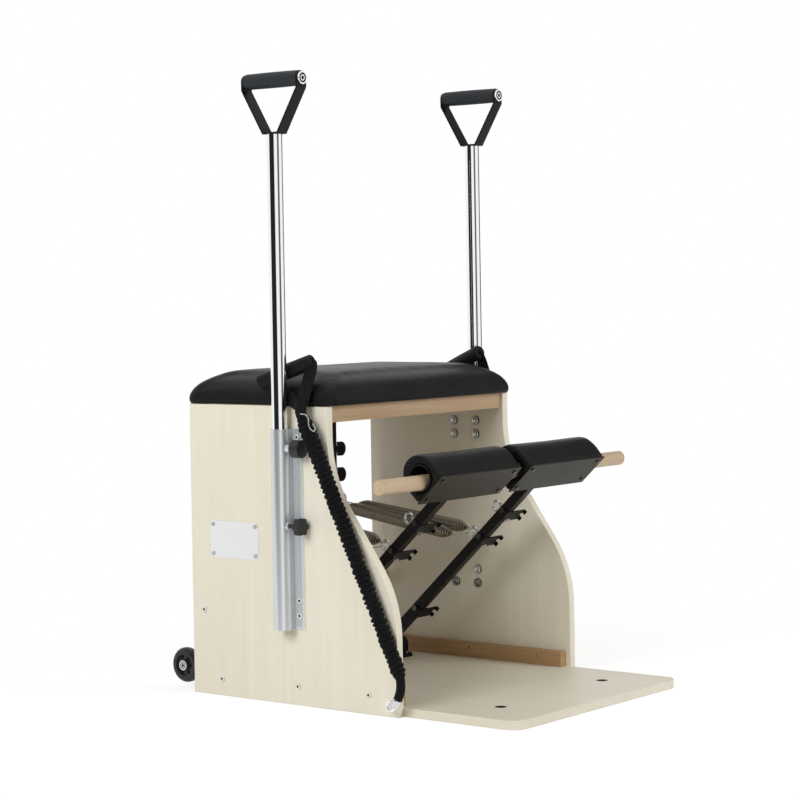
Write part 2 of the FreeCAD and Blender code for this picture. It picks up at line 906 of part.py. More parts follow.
def spring_loop(rear, front):
    """Hook at the post: a ring round the peg's stem and a shank to the coil."""
    along = spring_frame(rear, front)[0]
    eye = ring(rear, loop_mean_radius, spring_wire_radius, (1, 0, 0))
    shank = rod(spring_wire_radius, rear + along * loop_mean_radius, rear + along * spring_rear_shank)
    return joined([eye, shank])


def eye_point():
    """Middle of the mid eye bolt's ring, in the chair's frame."""
    angle = math.radians(arm_angle)
    s = eye_offsets[0]
    y = pivot_y - s * math.cos(angle) + eye_height * math.sin(angle)
    z = pivot_z + s * math.sin(angle) + eye_height * math.cos(angle)
    return y, z


def spring_hook(side, hand, rear, front):
    """Hook at the arm: from the coil's end to the rear of the eye, then through the eye along X."""
    along = spring_frame(rear, front)[0]
    y, z = eye_point()
    seat = eye_ring_radius - eye_wire_radius - spring_wire_radius - loose_gap
    angle = math.radians(hook_angle + hand * hook_spread_angle)
    y += seat * math.cos(angle)
    z += seat * math.sin(angle)
    neck = front + along * spring_straight
    bend = V(front.x, y, z)
    tip = V(side * arm_x - hand * hook_overhang, y, z)
    knees = [Part.makeSphere(spring_wire_radius, p) for p in (neck, bend, tip)]
    bars = [rod(spring_wire_radius, a, b) for a, b in ((front, neck), (neck, bend), (bend, tip))]
    return joined(bars + knees)


# Pole sockets, poles and handles


def left_socket():
    """Extruded socket: wall flange, web and round lobe, with two bosses on its front."""
    x = -pole_x
    wall = -panel_outer
    flange = box(wall - socket_flange_thickness, wall, pole_y - socket_flange_half,
                 pole_y + socket_flange_half, socket_bottom, socket_top)
    web = box(x, wall, pole_y - socket_web_half, pole_y + socket_web_half, socket_bottom, socket_top)
    lobe = rod(socket_lobe_radius, (x, pole_y, socket_bottom), (x, pole_y, socket_top))
    bosses = [rod(boss_radius, (x, pole_y, plunger_z), (x, plunger_boss_y, plunger_z)),
              rod(boss_radius, (x, pole_y, clamp_z), (x, clamp_boss_y, clamp_z))]
    bore = rod(pole_radius + pole_gap, (x, pole_y, socket_bottom - cut_overrun),
               (x, pole_y, socket_top + cut_overrun))
    pins = [rod(pin_radius + pin_gap, (x, pole_y, z), (x, plunger_boss_y - cut_overrun, z))
            for z in (plunger_z, clamp_z)]
    outside = wall - socket_flange_thickness - cut_overrun
    holes = bolt_holes(socket_screw_places(), outside, wall + cut_overrun)
    return cut(joined([flange, web, lobe] + bosses), [bore] + pins + holes)


def socket_washers():
    """Left side's washers on the inner face of the panel."""
    x = -panel_inner
    rings = []
    for y, z in socket_screw_places():
        disc = bar(washer_radius, x, x + washer_thickness, y, z)
        rings.append(cut(disc, bolt_holes([(y, z)], x - cut_overrun, x + washer_thickness + cut_overrun)))
    return rings


def left_pole():
    """Tube closed at the top, with a slot for the plunger's pin."""
    x = -pole_x
    body = rod(pole_radius, (x, pole_y, pole_bottom), (x, pole_y, pole_top))
    inside = rod(pole_radius - pole_wall, (x, pole_y, pole_bottom - cut_overrun),
                 (x, pole_y, pole_top - pole_wall))
    half = pin_radius + pin_gap
    slot = box(x - half, x + half, pole_y - pole_radius - cut_overrun, pole_y, slot_bottom, slot_top)
    return cut(body, [inside, slot])


def left_handle_frame():
    """Flat strip bent to a V on the pole's top, with round ends beside the grip."""
    x0 = -pole_x - frame_half_width
    x1 = -pole_x + frame_half_width
    outer = grip_half_length + frame_thickness
    inner_foot = frame_foot_half - frame_thickness / 2
    web_top = pole_top + frame_thickness
    left_side = [(-outer, grip_z), (-outer, frame_knee_z), (-frame_foot_half, pole_top)]
    right_inside = [(grip_half_length, grip_z), (grip_half_length, frame_knee_z), (inner_foot, web_top)]
    outline = left_side + [(-y, z) for y, z in reversed(left_side)]
    outline += right_inside + [(-y, z) for y, z in reversed(right_inside)]
    strip = side_prism([(pole_y + y, z) for y, z in outline], x0, x1)
    ends = [
        rod(frame_half_width, (-pole_x, pole_y + side * grip_half_length, grip_z),
            (-pole_x, pole_y + side * outer, grip_z))
        for side in sides
    ]
    return joined([strip] + ends)


def left_handle_grip():
    return rod(grip_radius, (-pole_x, pole_y - grip_half_length, grip_z),
               (-pole_x, pole_y + grip_half_length, grip_z))


def left_handle_caps():
    """Metal end caps with a socket for a key."""
    start = grip_half_length + frame_thickness
    caps = []
    for side in sides:
        face = (-pole_x, pole_y + side * start, grip_z)
        front = (-pole_x, pole_y + side * (start + cap_thickness), grip_z)
        middle = (-pole_x, pole_y + side * (start + cap_thickness / 2), grip_z)
        beyond = (-pole_x, pole_y + side * (start + cap_thickness + cut_overrun), grip_z)
        caps.append(rod(cap_radius, face, front).cut(rod(cap_socket_radius, middle, beyond)))
    return caps


def left_plunger():
    """Pull knob with its pin."""
    x = -pole_x
    knob = rod(plunger_knob_radius, (x, plunger_knob_rear_y, plunger_z),
               (x, plunger_knob_front_y, plunger_z))
    rims = [e for e in knob.Edges if e.BoundBox.YLength < loose_gap]
    knob = knob.makeFillet(plunger_rim, rims)
    pin = rod(pin_radius, (x, plunger_knob_rear_y - cut_overrun, plunger_z), (x, plunger_tip_y, plunger_z))
    return joined([knob, pin])


def left_clamp_knob():
    """Star knob on a threaded stud that stops just short of the pole."""
    x = -pole_x
    rear = clamp_knob_rear_y
    front = clamp_knob_front_y
    pieces = [rod(clamp_core_radius, (x, rear, clamp_z), (x, front, clamp_z))]
    for i in range(clamp_lobes):
        angle = math.pi * 2 * i / clamp_lobes
        lx = x + clamp_lobe_centre * math.cos(angle)
        lz = clamp_z + clamp_lobe_centre * math.sin(angle)
        pieces.append(rod(clamp_lobe_radius, (lx, rear, lz), (lx, front, lz)))
    tip = pole_y - pole_radius - clamp_tip_gap
    pieces.append(rod(pin_radius, (x, rear - cut_overrun, clamp_z), (x, tip, clamp_z)))
    return joined(pieces)


# Wheels


def wheel_faces():
    """X of the left wheel's outer and inner face."""
    inner = -cleat_inner - wheel_gap
    return inner - wheel_width, inner


def left_wheel():
    """Wheel with a round tread, a pocketed hub and lightening holes."""
    x0, x1 = wheel_faces()
    body = bar(wheel_radius, x0, x1, wheel_y, wheel_z)
    body = body.makeFillet(tyre_side_round, [e for e in body.Edges if e.BoundBox.XLength < loose_gap])
    tools = [bar(wheel_bore_radius + fit_gap, x0 - cut_overrun, x1 + cut_overrun, wheel_y, wheel_z)]
    for a, b in ((x0 - cut_overrun, x0 + hub_pocket_depth), (x1 - hub_pocket_depth, x1 + cut_overrun)):
        pocket = bar(hub_pocket_outer, a, b, wheel_y, wheel_z)
        tools.append(pocket.cut(bar(hub_pocket_inner, a, b, wheel_y, wheel_z)))
    for i in range(hub_holes):
        angle = math.pi * 2 * i / hub_holes
        y = wheel_y + hub_hole_circle * math.cos(angle)
        z = wheel_z + hub_hole_circle * math.sin(angle)
        tools.append(bar(hub_hole_radius, x0, x1, y, z))
    return cut(body, tools)


def left_wheel_plate():
    """Plate on the cleat's inner face that carries the wheel's axle behind the chair."""
    x0 = -cleat_inner
    x1 = x0 + wheel_plate_thickness
    body = box(x0, x1, wheel_plate_front_y, wheel_y, board_thickness, wheel_plate_top)
    tip = bar(wheel_plate_tip, x0, x1, wheel_y, wheel_z)
    hole = bar(wheel_bore_radius + loose_gap, x0 - cut_overrun, x1 + cut_overrun, wheel_y, wheel_z)
    return cut(joined([body, tip]), [hole] + grown(wheel_plate_screws()))


def left_wheel_axle():
    """Shoulder bolt: broad head outside the wheel, nut inside the plate."""
    x0, x1 = wheel_faces()
    head_end = x0 - wheel_gap / 2
    plate_end = -cleat_inner + wheel_plate_thickness
    head = bar(axle_head_radius, head_end - axle_head_height, head_end, wheel_y, wheel_z)
    shank = bar(wheel_bore_radius, head_end, plate_end, wheel_y, wheel_z)
    nut = bar(axle_nut_radius, plate_end, plate_end + axle_nut_height, wheel_y, wheel_z)
    return joined([head, shank, nut])


# Elastic straps


def bungee_steps():
    """Distance share along the ribbed stretch, and radius, of every circle of a tube."""
    steps = []
    swell = bungee_rib_radius - bungee_core_radius
    for rib in range(bungee_ribs):
        edge = min(rib + 1, bungee_ribs - rib) / bungee_cone_ribs
        full = min(1, edge)
        low = bungee_end_radius + (bungee_core_radius - bungee_end_radius) * full
        high = low + swell * full
        for share, radius in zip(bungee_rib_shares, (low, high, high, low)):
            steps.append(((rib + share) / bungee_ribs, radius))
    return steps + [(1, bungee_end_radius)]


def strap_point(side, place):
    """Point beside a panel: how far out of its face and behind its top front corner, and its height."""
    out, back, z = place
    return V(side * (panel_outer + out), panel_top_y + back, z)


def route_wire(points):
    """Straight runs and tangent arcs through route points."""
    arc_share = 0.45
    edges = []
    at = points[0]
    for before, corner, after in zip(points, points[1:], points[2:]):
        a = before - corner
        b = after - corner
        reach = min(a.Length, b.Length) * arc_share
        turn = math.pi - a.getAngle(b)
        print("strap bend radius", round(reach / math.tan(turn / 2), 1))
        enter = corner + a.normalize() * reach
        leave = corner + b.normalize() * reach
        edges.append(Part.LineSegment(at, enter).toShape())
        edges.append(arc_with_tangent(enter, corner, leave))
        at = leave
    edges.append(Part.LineSegment(at, points[-1]).toShape())
    return edges


def along_edges(edges, distance):
    """Point and direction at a distance along a row of edges."""
    for edge in edges:
        if distance <= edge.Length:
            break
        distance -= edge.Length
    mark = edge.getParameterByLength(min(distance, edge.Length))
    return edge.valueAt(mark), edge.tangentAt(mark)


def bungee(side, route):
    """Ribbed elastic tube from the webbing's ring, with a smooth end to the eye at the panel's foot."""
    points = [strap_point(side, place) for place in route]
    edges = route_wire(points)
    smooth_count = smooth_points * 2 - 1
    smooth_edges = edges[-smooth_count:]
    ribbed_edges = edges[:-smooth_count]
    length = sum(edge.Length for edge in ribbed_edges)
    circles = []
    for share, radius in bungee_steps():
        place, along = along_edges(ribbed_edges, length * share)
        circle = Part.Circle(place, along, radius)
        circle.XAxis = (V(1, 0, 0) - along * along.x).normalize()
        circles.append(Part.Wire(circle.toShape()))
    ribbed = Part.makeLoft(circles, True, True)
    path = Part.Wire(smooth_edges)
    start, along = along_edges(smooth_edges, 0)
    section = Part.Wire(Part.Circle(start, along, bungee_end_radius).toShape())
    smooth = path.makePipeShell([section], True, False)
    print("strap ribbed length", round(length, 1), "smooth length", round(path.Length, 1),
          "smooth volume over section", round(smooth.Volume / (math.pi * bungee_end_radius ** 2), 1))
    return joined([ribbed, smooth])


def band(start, end, across):
    """Flat webbing strip from start to end, as wide as across points."""
    a = V(*start)
    b = V(*end)
    along = V(b - a).normalize()
    side = V(*across)
    side = (side - along * side.dot(along)).normalize() * (strap_width / 2)
    deep = V(along.cross(side)).normalize() * (strap_thickness / 2)
    corners = [a - side - deep, a + side - deep, a + side + deep, a - side + deep]
    return Part.Face(Part.makePolygon(corners + corners[:1])).extrude(b - a)


def strap(side, ring_place):
    """Webbing from both ends of the foam grip down to the ring."""
    end = strap_point(side, ring_place)
    turn = strap_point(side, strap_turn)
    low_side = band(strap_point(side, grip_low), turn, (0, 0, 1))
    low_end = band(turn, end, (0, 0, 1))
    high_side = band(strap_point(side, grip_high), end, (0, 1, 0))
    return joined([low_side, low_end, high_side])


def strap_grip(side):
    return rod(strap_grip_radius, strap_point(side, grip_low), strap_point(side, grip_high))


def strap_ring(side, ring_place):
    return ring(strap_point(side, ring_place), ring_mean_radius, ring_wire_radius, (1, 0, 0))


def anchor(side, route):
    """Eye screwed into the foot of the panel."""
    end = strap_point(side, route[-1])
    y = end.y + ring_mean_radius
    eye = ring((end.x, y, end.z), ring_mean_radius, ring_wire_radius, (1, 0, 0))
    inside = side * (panel_outer - anchor_stem_depth)
    stem = bar(anchor_stem_radius, end.x, inside, y + ring_mean_radius, end.z)
    return joined([eye, stem])


os.makedirs("parts", exist_ok=True)

panel = plain_panel()
save("left_panel", cut(panel, grown(nameplate_screws())))
save("right_panel", mirrored(panel))
save("base_board", base_board())
save("front_seat_rail", rail(front_rail_y, front_rail_y + rail_thickness, panel_height))
save("rear_seat_rail", rail(rear_rail_y, post_y, panel_height))
save("rear_cross_rail", rear_cross_rail())
save("base_cleats", both_sides([left_cleat()]))
save("seat_board", seat_board())
save("seat_cushion", seat_cushion())
save("spring_posts", both_sides([right_post()]))
save("panel_bolts", both_sides(frame_bolts() + socket_screws()))
save("socket_washers", both_sides(socket_washers()))
save("nameplate", cut(nameplate(), grown(nameplate_screws())))
wheel_screws = wheel_plate_screws()
small_screws = nameplate_screws() + block_screws() + insert_screws() + wheel_screws
save("wood_screws", Part.makeCompound(small_screws + [mirrored(s) for s in wheel_screws]))
save("board_inserts", Part.makeCompound([board_insert(side) for side in sides]))

save("pedal_axle", bar(axle_radius, -axle_half_length, axle_half_length, pivot_y, pivot_z))
save("axle_blocks", Part.makeCompound([axle_block(x) for x in axle_block_centres()]))
save("axle_bushes", Part.makeCompound([axle_bush(side) for side in sides]))

for name, side in zip(("left", "right"), sides):
    save(name + "_arm", arm(side))
    save(name + "_brackets", Part.makeCompound([bracket(side, s) for s in bracket_offsets]))
    save(name + "_eye_bolts", Part.makeCompound([eye_bolt(side, s) for s in eye_offsets]))
    save(name + "_pad", pad(side))
    save(name + "_pad_plate", pad_plate(side))
    save(name + "_pedal_screws", pedal_screws(side))
    lines = spring_lines(side)
    save(name + "_springs", Part.makeCompound([spring(*line) for line in lines]))
    save(name + "_spring_loops", Part.makeCompound([spring_loop(*line) for line in lines]))
    hooks = [spring_hook(side, hand, *line) for hand, line in zip(sides, lines)]
    save(name + "_spring_hooks", Part.makeCompound(hooks))
    print("least gap between turns", [round(spring_gap(*line), 2) for line in lines])
save("connecting_dowel", connecting_dowel())

for name, place in (("left", lambda s: s), ("right", mirrored)):
    save(name + "_pole_socket", place(left_socket()))
    save(name + "_pole", place(left_pole()))
    save(name + "_handle_frame", place(left_handle_frame()))
    save(name + "_handle_grip", place(left_handle_grip()))
    save(name + "_handle_caps", Part.makeCompound([place(s) for s in left_handle_caps()]))
    save(name + "_plunger", place(left_plunger()))
    save(name + "_clamp_knob", place(left_clamp_knob()))
    save(name + "_wheel", place(left_wheel()))
save("wheel_plates", both_sides([left_wheel_plate()]))
save("wheel_axles", both_sides([left_wheel_axle()]))
straps = []
strap_grips = []
strap_rings = []
left_strap_set = ("left", -1, left_route, left_ring)
right_strap_set = ("right", 1, right_route, right_ring)
for name, side, route, ring_place in (left_strap_set, right_strap_set):
    save(name + "_bungee", bungee(side, route))
    straps.append(strap(side, ring_place))
    strap_grips.append(strap_grip(side))
    strap_rings += [strap_ring(side, ring_place), anchor(side, route)]
save("handle_straps", Part.makeCompound(straps))
save("strap_grips", Part.makeCompound(strap_grips))
save("bungee_rings", Part.makeCompound(strap_rings))
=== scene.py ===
import math

import bpy
import numpy as np
from mathutils import Matrix, Vector, noise


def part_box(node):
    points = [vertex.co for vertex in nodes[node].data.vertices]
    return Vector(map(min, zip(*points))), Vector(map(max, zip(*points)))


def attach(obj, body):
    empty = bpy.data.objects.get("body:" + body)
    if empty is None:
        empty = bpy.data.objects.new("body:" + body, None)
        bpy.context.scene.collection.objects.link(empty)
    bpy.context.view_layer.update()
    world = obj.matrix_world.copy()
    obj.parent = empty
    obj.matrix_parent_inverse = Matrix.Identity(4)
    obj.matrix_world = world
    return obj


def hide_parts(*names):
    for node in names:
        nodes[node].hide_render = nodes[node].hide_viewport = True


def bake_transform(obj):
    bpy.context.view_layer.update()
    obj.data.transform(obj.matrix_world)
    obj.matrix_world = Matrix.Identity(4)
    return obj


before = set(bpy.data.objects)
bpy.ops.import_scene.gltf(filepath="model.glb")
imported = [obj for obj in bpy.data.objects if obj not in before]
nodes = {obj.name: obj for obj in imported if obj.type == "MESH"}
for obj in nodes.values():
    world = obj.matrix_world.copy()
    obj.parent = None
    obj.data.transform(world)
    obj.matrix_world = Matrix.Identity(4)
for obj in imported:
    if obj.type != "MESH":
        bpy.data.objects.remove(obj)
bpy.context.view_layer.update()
scene = bpy.context.scene
scene.view_settings.view_transform = "Standard"
SIDES = (("left", -1), ("right", 1))


# Camera at the photograph's viewpoint

SENSOR_WIDTH = 36
LENS = 104.68
SHIFT_UP = -0.0713
VIEW_DEPTH = 60
CAMERA_AT = Vector((-3.8153, -2.92815, 0.84005))
CAMERA_RIGHT = Vector((0.619629, -0.784713, -0.016926))
CAMERA_UP = Vector((0.030273, 0.002345, 0.999539))


def add_camera():
    data = bpy.data.cameras.new("camera")
    data.sensor_width = SENSOR_WIDTH
    data.lens = LENS
    data.shift_y = SHIFT_UP
    data.clip_end = VIEW_DEPTH
    camera = bpy.data.objects.new("camera", data)
    axes = CAMERA_RIGHT, CAMERA_UP, CAMERA_RIGHT.cross(CAMERA_UP)
    turn = Matrix(axes).transposed().to_4x4()
    turn.translation = CAMERA_AT
    camera.matrix_world = turn
    scene.collection.objects.link(camera)
    scene.camera = camera


add_camera()


# Mesh helpers

ROUTE_STEPS, ROUTE_ORDER = 40, 3


def add_mesh(name, points, faces, smooth=True):
    mesh = bpy.data.meshes.new(name)
    mesh.from_pydata([tuple(p) for p in points], [], faces)
    mesh.validate()
    mesh.polygons.foreach_set("use_smooth", [smooth] * len(mesh.polygons))
    obj = bpy.data.objects.new(name, mesh)
    scene.collection.objects.link(obj)
    return obj


def ring_faces(rings, count):
    """Faces of a closed skin over rings of count points each, with a cap at both ends."""
    faces = []
    for i in range(rings - 1):
        for k in range(count):
            a, b = i * count + k, i * count + (k + 1) % count
            faces.append((a, b, b + count, a + count))
    last = (rings - 1) * count
    return faces + [tuple(range(count))[::-1], tuple(range(last, last + count))]


def line_tangents(line):
    tangents = np.gradient(line, axis=0)
    return tangents / np.linalg.norm(tangents, axis=1)[:, None]


def line_frames(line, up):
    """Side and normal at every point of a line, carried along without twist."""
    tangents = line_tangents(line)
    side = np.cross(tangents[0], up)
    sides, normals = [], []
    for t in tangents:
        side = side - t * side.dot(t)
        side /= np.linalg.norm(side)
        sides.append(side)
        normals.append(np.cross(side, t))
    return sides, normals


def sweep(name, line, sections, up=(0, 0, 1)):
    """Closed skin over one outline of (side, normal) offsets at every point of a line."""
    line = np.asarray(line, float)
    sides, normals = line_frames(line, np.array(up, float))
    points = []
    for p, s, n, section in zip(line, sides, normals, sections):
        points += [p + s * a + n * b for a, b in section]
    return add_mesh(name, points, ring_faces(len(line), len(sections[0])))


def circle(radius, count):
    angles = [2 * math.pi * k / count for k in range(count)]
    return [(radius * math.cos(angle), radius * math.sin(angle)) for angle in angles]


def nurbs_line(points, steps=ROUTE_STEPS):
    """Points of a smooth spline that has the route's points as its control points."""
    data = bpy.data.curves.new("route", "CURVE")
    data.dimensions = "3D"
    data.resolution_u = steps
    spline = data.splines.new("NURBS")
    spline.points.add(len(points) - 1)
    for place, p in zip(spline.points, points):
        place.co = (*p, 1)
    spline.order_u = ROUTE_ORDER
    spline.use_endpoint_u = True
    obj = bpy.data.objects.new("route", data)
    scene.collection.objects.link(obj)
    bpy.context.view_layer.update()
    mesh = bpy.data.meshes.new_from_object(obj)
    line = np.array([v.co for v in mesh.vertices], float)
    bpy.data.objects.remove(obj)
    bpy.data.meshes.remove(mesh)
    return line


def even_line(line, count):
    """The same line with points at even distances, and its length."""
    runs = np.linalg.norm(np.diff(line, axis=0), axis=1)
    at = np.concatenate([[0], np.cumsum(runs)])
    want = np.linspace(0, at[-1], count)
    return np.stack([np.interp(want, at, line[:, i]) for i in range(3)], 1), at[-1]


def dress(obj, look, body, slot, *stands_for):
    """Give a piece its look, the body it rides on and the solids it stands for."""
    obj.data.materials.clear()
    obj.data.materials.append(look)
    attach(obj, body)
    if stands_for:
        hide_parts(*stands_for)
    return obj


# Shader helpers

WHITE = (1.0, 1.0, 1.0)
EDGE_SAMPLES = 4
# Numbers of the mix node's sockets for colours
MIX_FACTOR, MIX_A, MIX_B, MIX_RESULT = 0, 6, 7, 2


def shader(name, color, rough, metallic=0.0, specular=0.5):
    look = bpy.data.materials.new(name)
    look.use_nodes = True
    tree = look.node_tree
    bsdf = tree.nodes["Principled BSDF"]
    bsdf.inputs["Base Color"].default_value = (*color, 1)
    bsdf.inputs["Roughness"].default_value = rough
    bsdf.inputs["Metallic"].default_value = metallic
    bsdf.inputs["Specular IOR Level"].default_value = specular
    return look, tree, bsdf


def placed(tree, scale):
    """Object coordinates, scaled."""
    coords = tree.nodes.new("ShaderNodeTexCoord")
    mapping = tree.nodes.new("ShaderNodeMapping")
    mapping.inputs["Scale"].default_value = scale
    tree.links.new(coords.outputs["Object"], mapping.inputs["Vector"])
    return mapping.outputs["Vector"]


def cloud(tree, scale, detail, rough, distortion=0.0):
    """Noise with so many waves per metre on each axis."""
    tex = tree.nodes.new("ShaderNodeTexNoise")
    tex.inputs["Scale"].default_value = 1.0
    tex.inputs["Detail"].default_value = detail
    tex.inputs["Roughness"].default_value = rough
    tex.inputs["Distortion"].default_value = distortion
    tree.links.new(placed(tree, scale), tex.inputs["Vector"])
    return tex.outputs["Fac"]


def ramp(tree, value, stops):
    node = tree.nodes.new("ShaderNodeValToRGB")
    elements = node.color_ramp.elements
    while len(elements) < len(stops):
        elements.new(0.5)
    for element, (at, color) in zip(elements, stops):
        element.position = at
        element.color = (*color, 1)
    tree.links.new(value, node.inputs["Fac"])
    return node.outputs["Color"]


def span(tree, value, low, high):
    node = tree.nodes.new("ShaderNodeMapRange")
    node.inputs["To Min"].default_value = low
    node.inputs["To Max"].default_value = high
    tree.links.new(value, node.inputs["Value"])
    return node.outputs["Result"]


def multiplied(tree, a, b):
    node = tree.nodes.new("ShaderNodeMix")
    node.data_type = "RGBA"
    node.blend_type = "MULTIPLY"
    node.inputs[MIX_FACTOR].default_value = 1.0
    tree.links.new(a, node.inputs[MIX_A])
    tree.links.new(b, node.inputs[MIX_B])
    return node.outputs[MIX_RESULT]


def bump(tree, bsdf, height, strength, distance, edge=0.0):
    """Raise the surface by a texture, and round its edges by a radius."""
    node = tree.nodes.new("ShaderNodeBump")
    node.inputs["Strength"].default_value = strength
    node.inputs["Distance"].default_value = distance
    tree.links.new(height, node.inputs["Height"])
    if edge:
        soft = tree.nodes.new("ShaderNodeBevel")
        soft.samples = EDGE_SAMPLES
        soft.inputs["Radius"].default_value = edge
        tree.links.new(soft.outputs["Normal"], node.inputs["Normal"])
    tree.links.new(node.outputs["Normal"], bsdf.inputs["Normal"])


# Kinds of material

FIGURE_ACROSS, FIGURE_ALONG = 7.0, 0.7
FIGURE_TINT = (0.95, 0.94, 0.92)
WOOD_PORES, WOOD_POLISH = 0.08, 0.05
WOOD_GRAIN_DEPTH, WOOD_EDGE = 0.0004, 0.0012
METAL_GRAIN_DEPTH, METAL_EDGE = 0.0002, 0.0008
LEAST_ROUGHNESS = 0.02
DRAWN_STREAKS = (600, 600, 8)
DRAWN_TINT = (0.93, 0.93, 0.93)
# Above 1: painted highlights on edges and lit faces; below 1: painted shade in the grooves and the
# slot
# Painted light across the pole socket's section, from its rear edge (0) to its front edge (1)
SECTION_HIGHLIGHTS_AND_SHADE = ((0.0, 1.0), (0.48, 1.0), (0.52, 1.25), (0.56, 0.85), (0.63, 0.95), (0.67, 1.2),
                 (0.70, 0.8), (0.74, 1.2), (0.88, 1.15), (0.91, 0.85), (0.94, 1.3), (1.0, 1.25))
BLOTCH_SCALE = (25, 25, 25)
BLOTCH_LIGHT, BLOTCH_SHINE = 1.35, 0.07
LEATHER_CELLS = 700
LEATHER_PATCHES = (14, 14, 14)
LEATHER_LIGHT, LEATHER_WORN, LEATHER_DULL = 1.4, 0.06, 0.08
LEATHER_RELIEF, LEATHER_DEPTH = 0.22, 0.0004
THREAD_WAVES, THREAD_WOBBLE, THREAD_LIGHT = 0.16, 0.4, 1.9
THREAD_SETS = ((1, 0, 0.6), (0.3, 1, 0.8))
WEAVE_RELIEF, WEAVE_DEPTH = 0.5, 0.0005
WEAVE_FUZZ, WEAVE_FUZZ_ROUGHNESS = 0.03, 0.5


def wood(name, pale, dark, axis, rough=0.42, grain=70.0, stretch=24.0, strength=0.25):
    """Fine straight grain along one axis and a broad faint figure."""
    look, tree, bsdf = shader(name, pale, rough)
    lines = [grain] * 3
    lines[axis] = grain / stretch
    wide = [FIGURE_ACROSS] * 3
    wide[axis] = FIGURE_ALONG
    fine = cloud(tree, lines, detail=6, rough=0.6, distortion=0.3)
    broad = cloud(tree, wide, detail=3, rough=0.5, distortion=0.6)
    middle = [(a + b) / 2 for a, b in zip(pale, dark)]
    color = ramp(tree, fine, [(0.3, dark), (0.5, middle), (0.68, pale)])
    tint = ramp(tree, broad, [(0.3, FIGURE_TINT), (0.7, WHITE)])
    tree.links.new(multiplied(tree, color, tint), bsdf.inputs["Base Color"])
    shine = span(tree, fine, rough + WOOD_PORES, rough - WOOD_POLISH)
    tree.links.new(shine, bsdf.inputs["Roughness"])
    bump(tree, bsdf, fine, strength, WOOD_GRAIN_DEPTH, WOOD_EDGE)
    return look


def metal(name, color, rough, scale, strength=0.1, metallic=1.0, edge=METAL_EDGE, streaks=0.14,
          spread=0.06):
    """Metal with faint streaks in its polish."""
    look, tree, bsdf = shader(name, color, rough, metallic)
    streak = cloud(tree, scale, detail=4, rough=0.6)
    smooth = max(LEAST_ROUGHNESS, rough - spread)
    tree.links.new(span(tree, streak, smooth, rough + spread), bsdf.inputs["Roughness"])
    shade = [c * (1 - streaks) for c in color]
    tree.links.new(ramp(tree, streak, [(0.35, shade), (0.65, color)]), bsdf.inputs["Base Color"])
    bump(tree, bsdf, streak, strength, METAL_GRAIN_DEPTH, edge)
    return look


def drawn(name, color, rough, metallic=0.7, spread=0.06, strength=0.1):
    """Drawn aluminium: fine upright streaks, and painted highlights and painted shade in lines
    across its section from rear to front.
    """
    look, tree, bsdf = shader(name, color, rough, metallic)
    streak = cloud(tree, DRAWN_STREAKS, detail=4, rough=0.6)
    tree.links.new(span(tree, streak, rough - spread, rough + spread), bsdf.inputs["Roughness"])
    low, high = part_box("left_pole_socket")
    coords = tree.nodes.new("ShaderNodeTexCoord")
    parts = tree.nodes.new("ShaderNodeSeparateXYZ")
    tree.links.new(coords.outputs["Object"], parts.inputs["Vector"])
    share = tree.nodes.new("ShaderNodeMapRange")
    share.inputs["From Min"].default_value = high.y
    share.inputs["From Max"].default_value = low.y
    tree.links.new(parts.outputs["Y"], share.inputs["Value"])
    # Painted highlights and painted shade across the section, multiplied into the colour
    painted_light_tones = [(at, [c * tone for c in color]) for at, tone in SECTION_HIGHLIGHTS_AND_SHADE]
    lines = ramp(tree, share.outputs["Result"], painted_light_tones)
    tint = ramp(tree, streak, [(0.35, DRAWN_TINT), (0.65, WHITE)])
    tree.links.new(multiplied(tree, lines, tint), bsdf.inputs["Base Color"])
    bump(tree, bsdf, streak, strength, METAL_GRAIN_DEPTH, METAL_EDGE)
    return look


def coated(name, color, rough, size, strength, depth=0.0002, edge=0.001, specular=0.3):
    """Paint, moulded plastic or foam with a fine even texture and faint blotches."""
    look, tree, bsdf = shader(name, color, rough, specular=specular)
    grain = cloud(tree, (size,) * 3, detail=3, rough=0.6)
    patch = cloud(tree, BLOTCH_SCALE, detail=3, rough=0.5)
    light = [c * BLOTCH_LIGHT for c in color]
    tree.links.new(ramp(tree, patch, [(0.3, color), (0.75, light)]), bsdf.inputs["Base Color"])
    shine = span(tree, patch, rough - BLOTCH_SHINE, rough + BLOTCH_SHINE)
    tree.links.new(shine, bsdf.inputs["Roughness"])
    bump(tree, bsdf, grain, strength, depth, edge)
    return look


def leather(name, color, rough, specular=0.07):
    """Leatherette: small raised cells and a slow change of sheen."""
    look, tree, bsdf = shader(name, color, rough, specular=specular)
    cells = tree.nodes.new("ShaderNodeTexVoronoi")
    cells.inputs["Scale"].default_value = LEATHER_CELLS
    tree.links.new(placed(tree, (1, 1, 1)), cells.inputs["Vector"])
    slow = cloud(tree, LEATHER_PATCHES, detail=4, rough=0.6)
    light = [c * LEATHER_LIGHT for c in color]
    tree.links.new(ramp(tree, slow, [(0.3, color), (0.75, light)]), bsdf.inputs["Base Color"])
    shine = span(tree, slow, rough - LEATHER_WORN, rough + LEATHER_DULL)
    tree.links.new(shine, bsdf.inputs["Roughness"])
    bump(tree, bsdf, cells.outputs["Distance"], LEATHER_RELIEF, LEATHER_DEPTH)
    return look


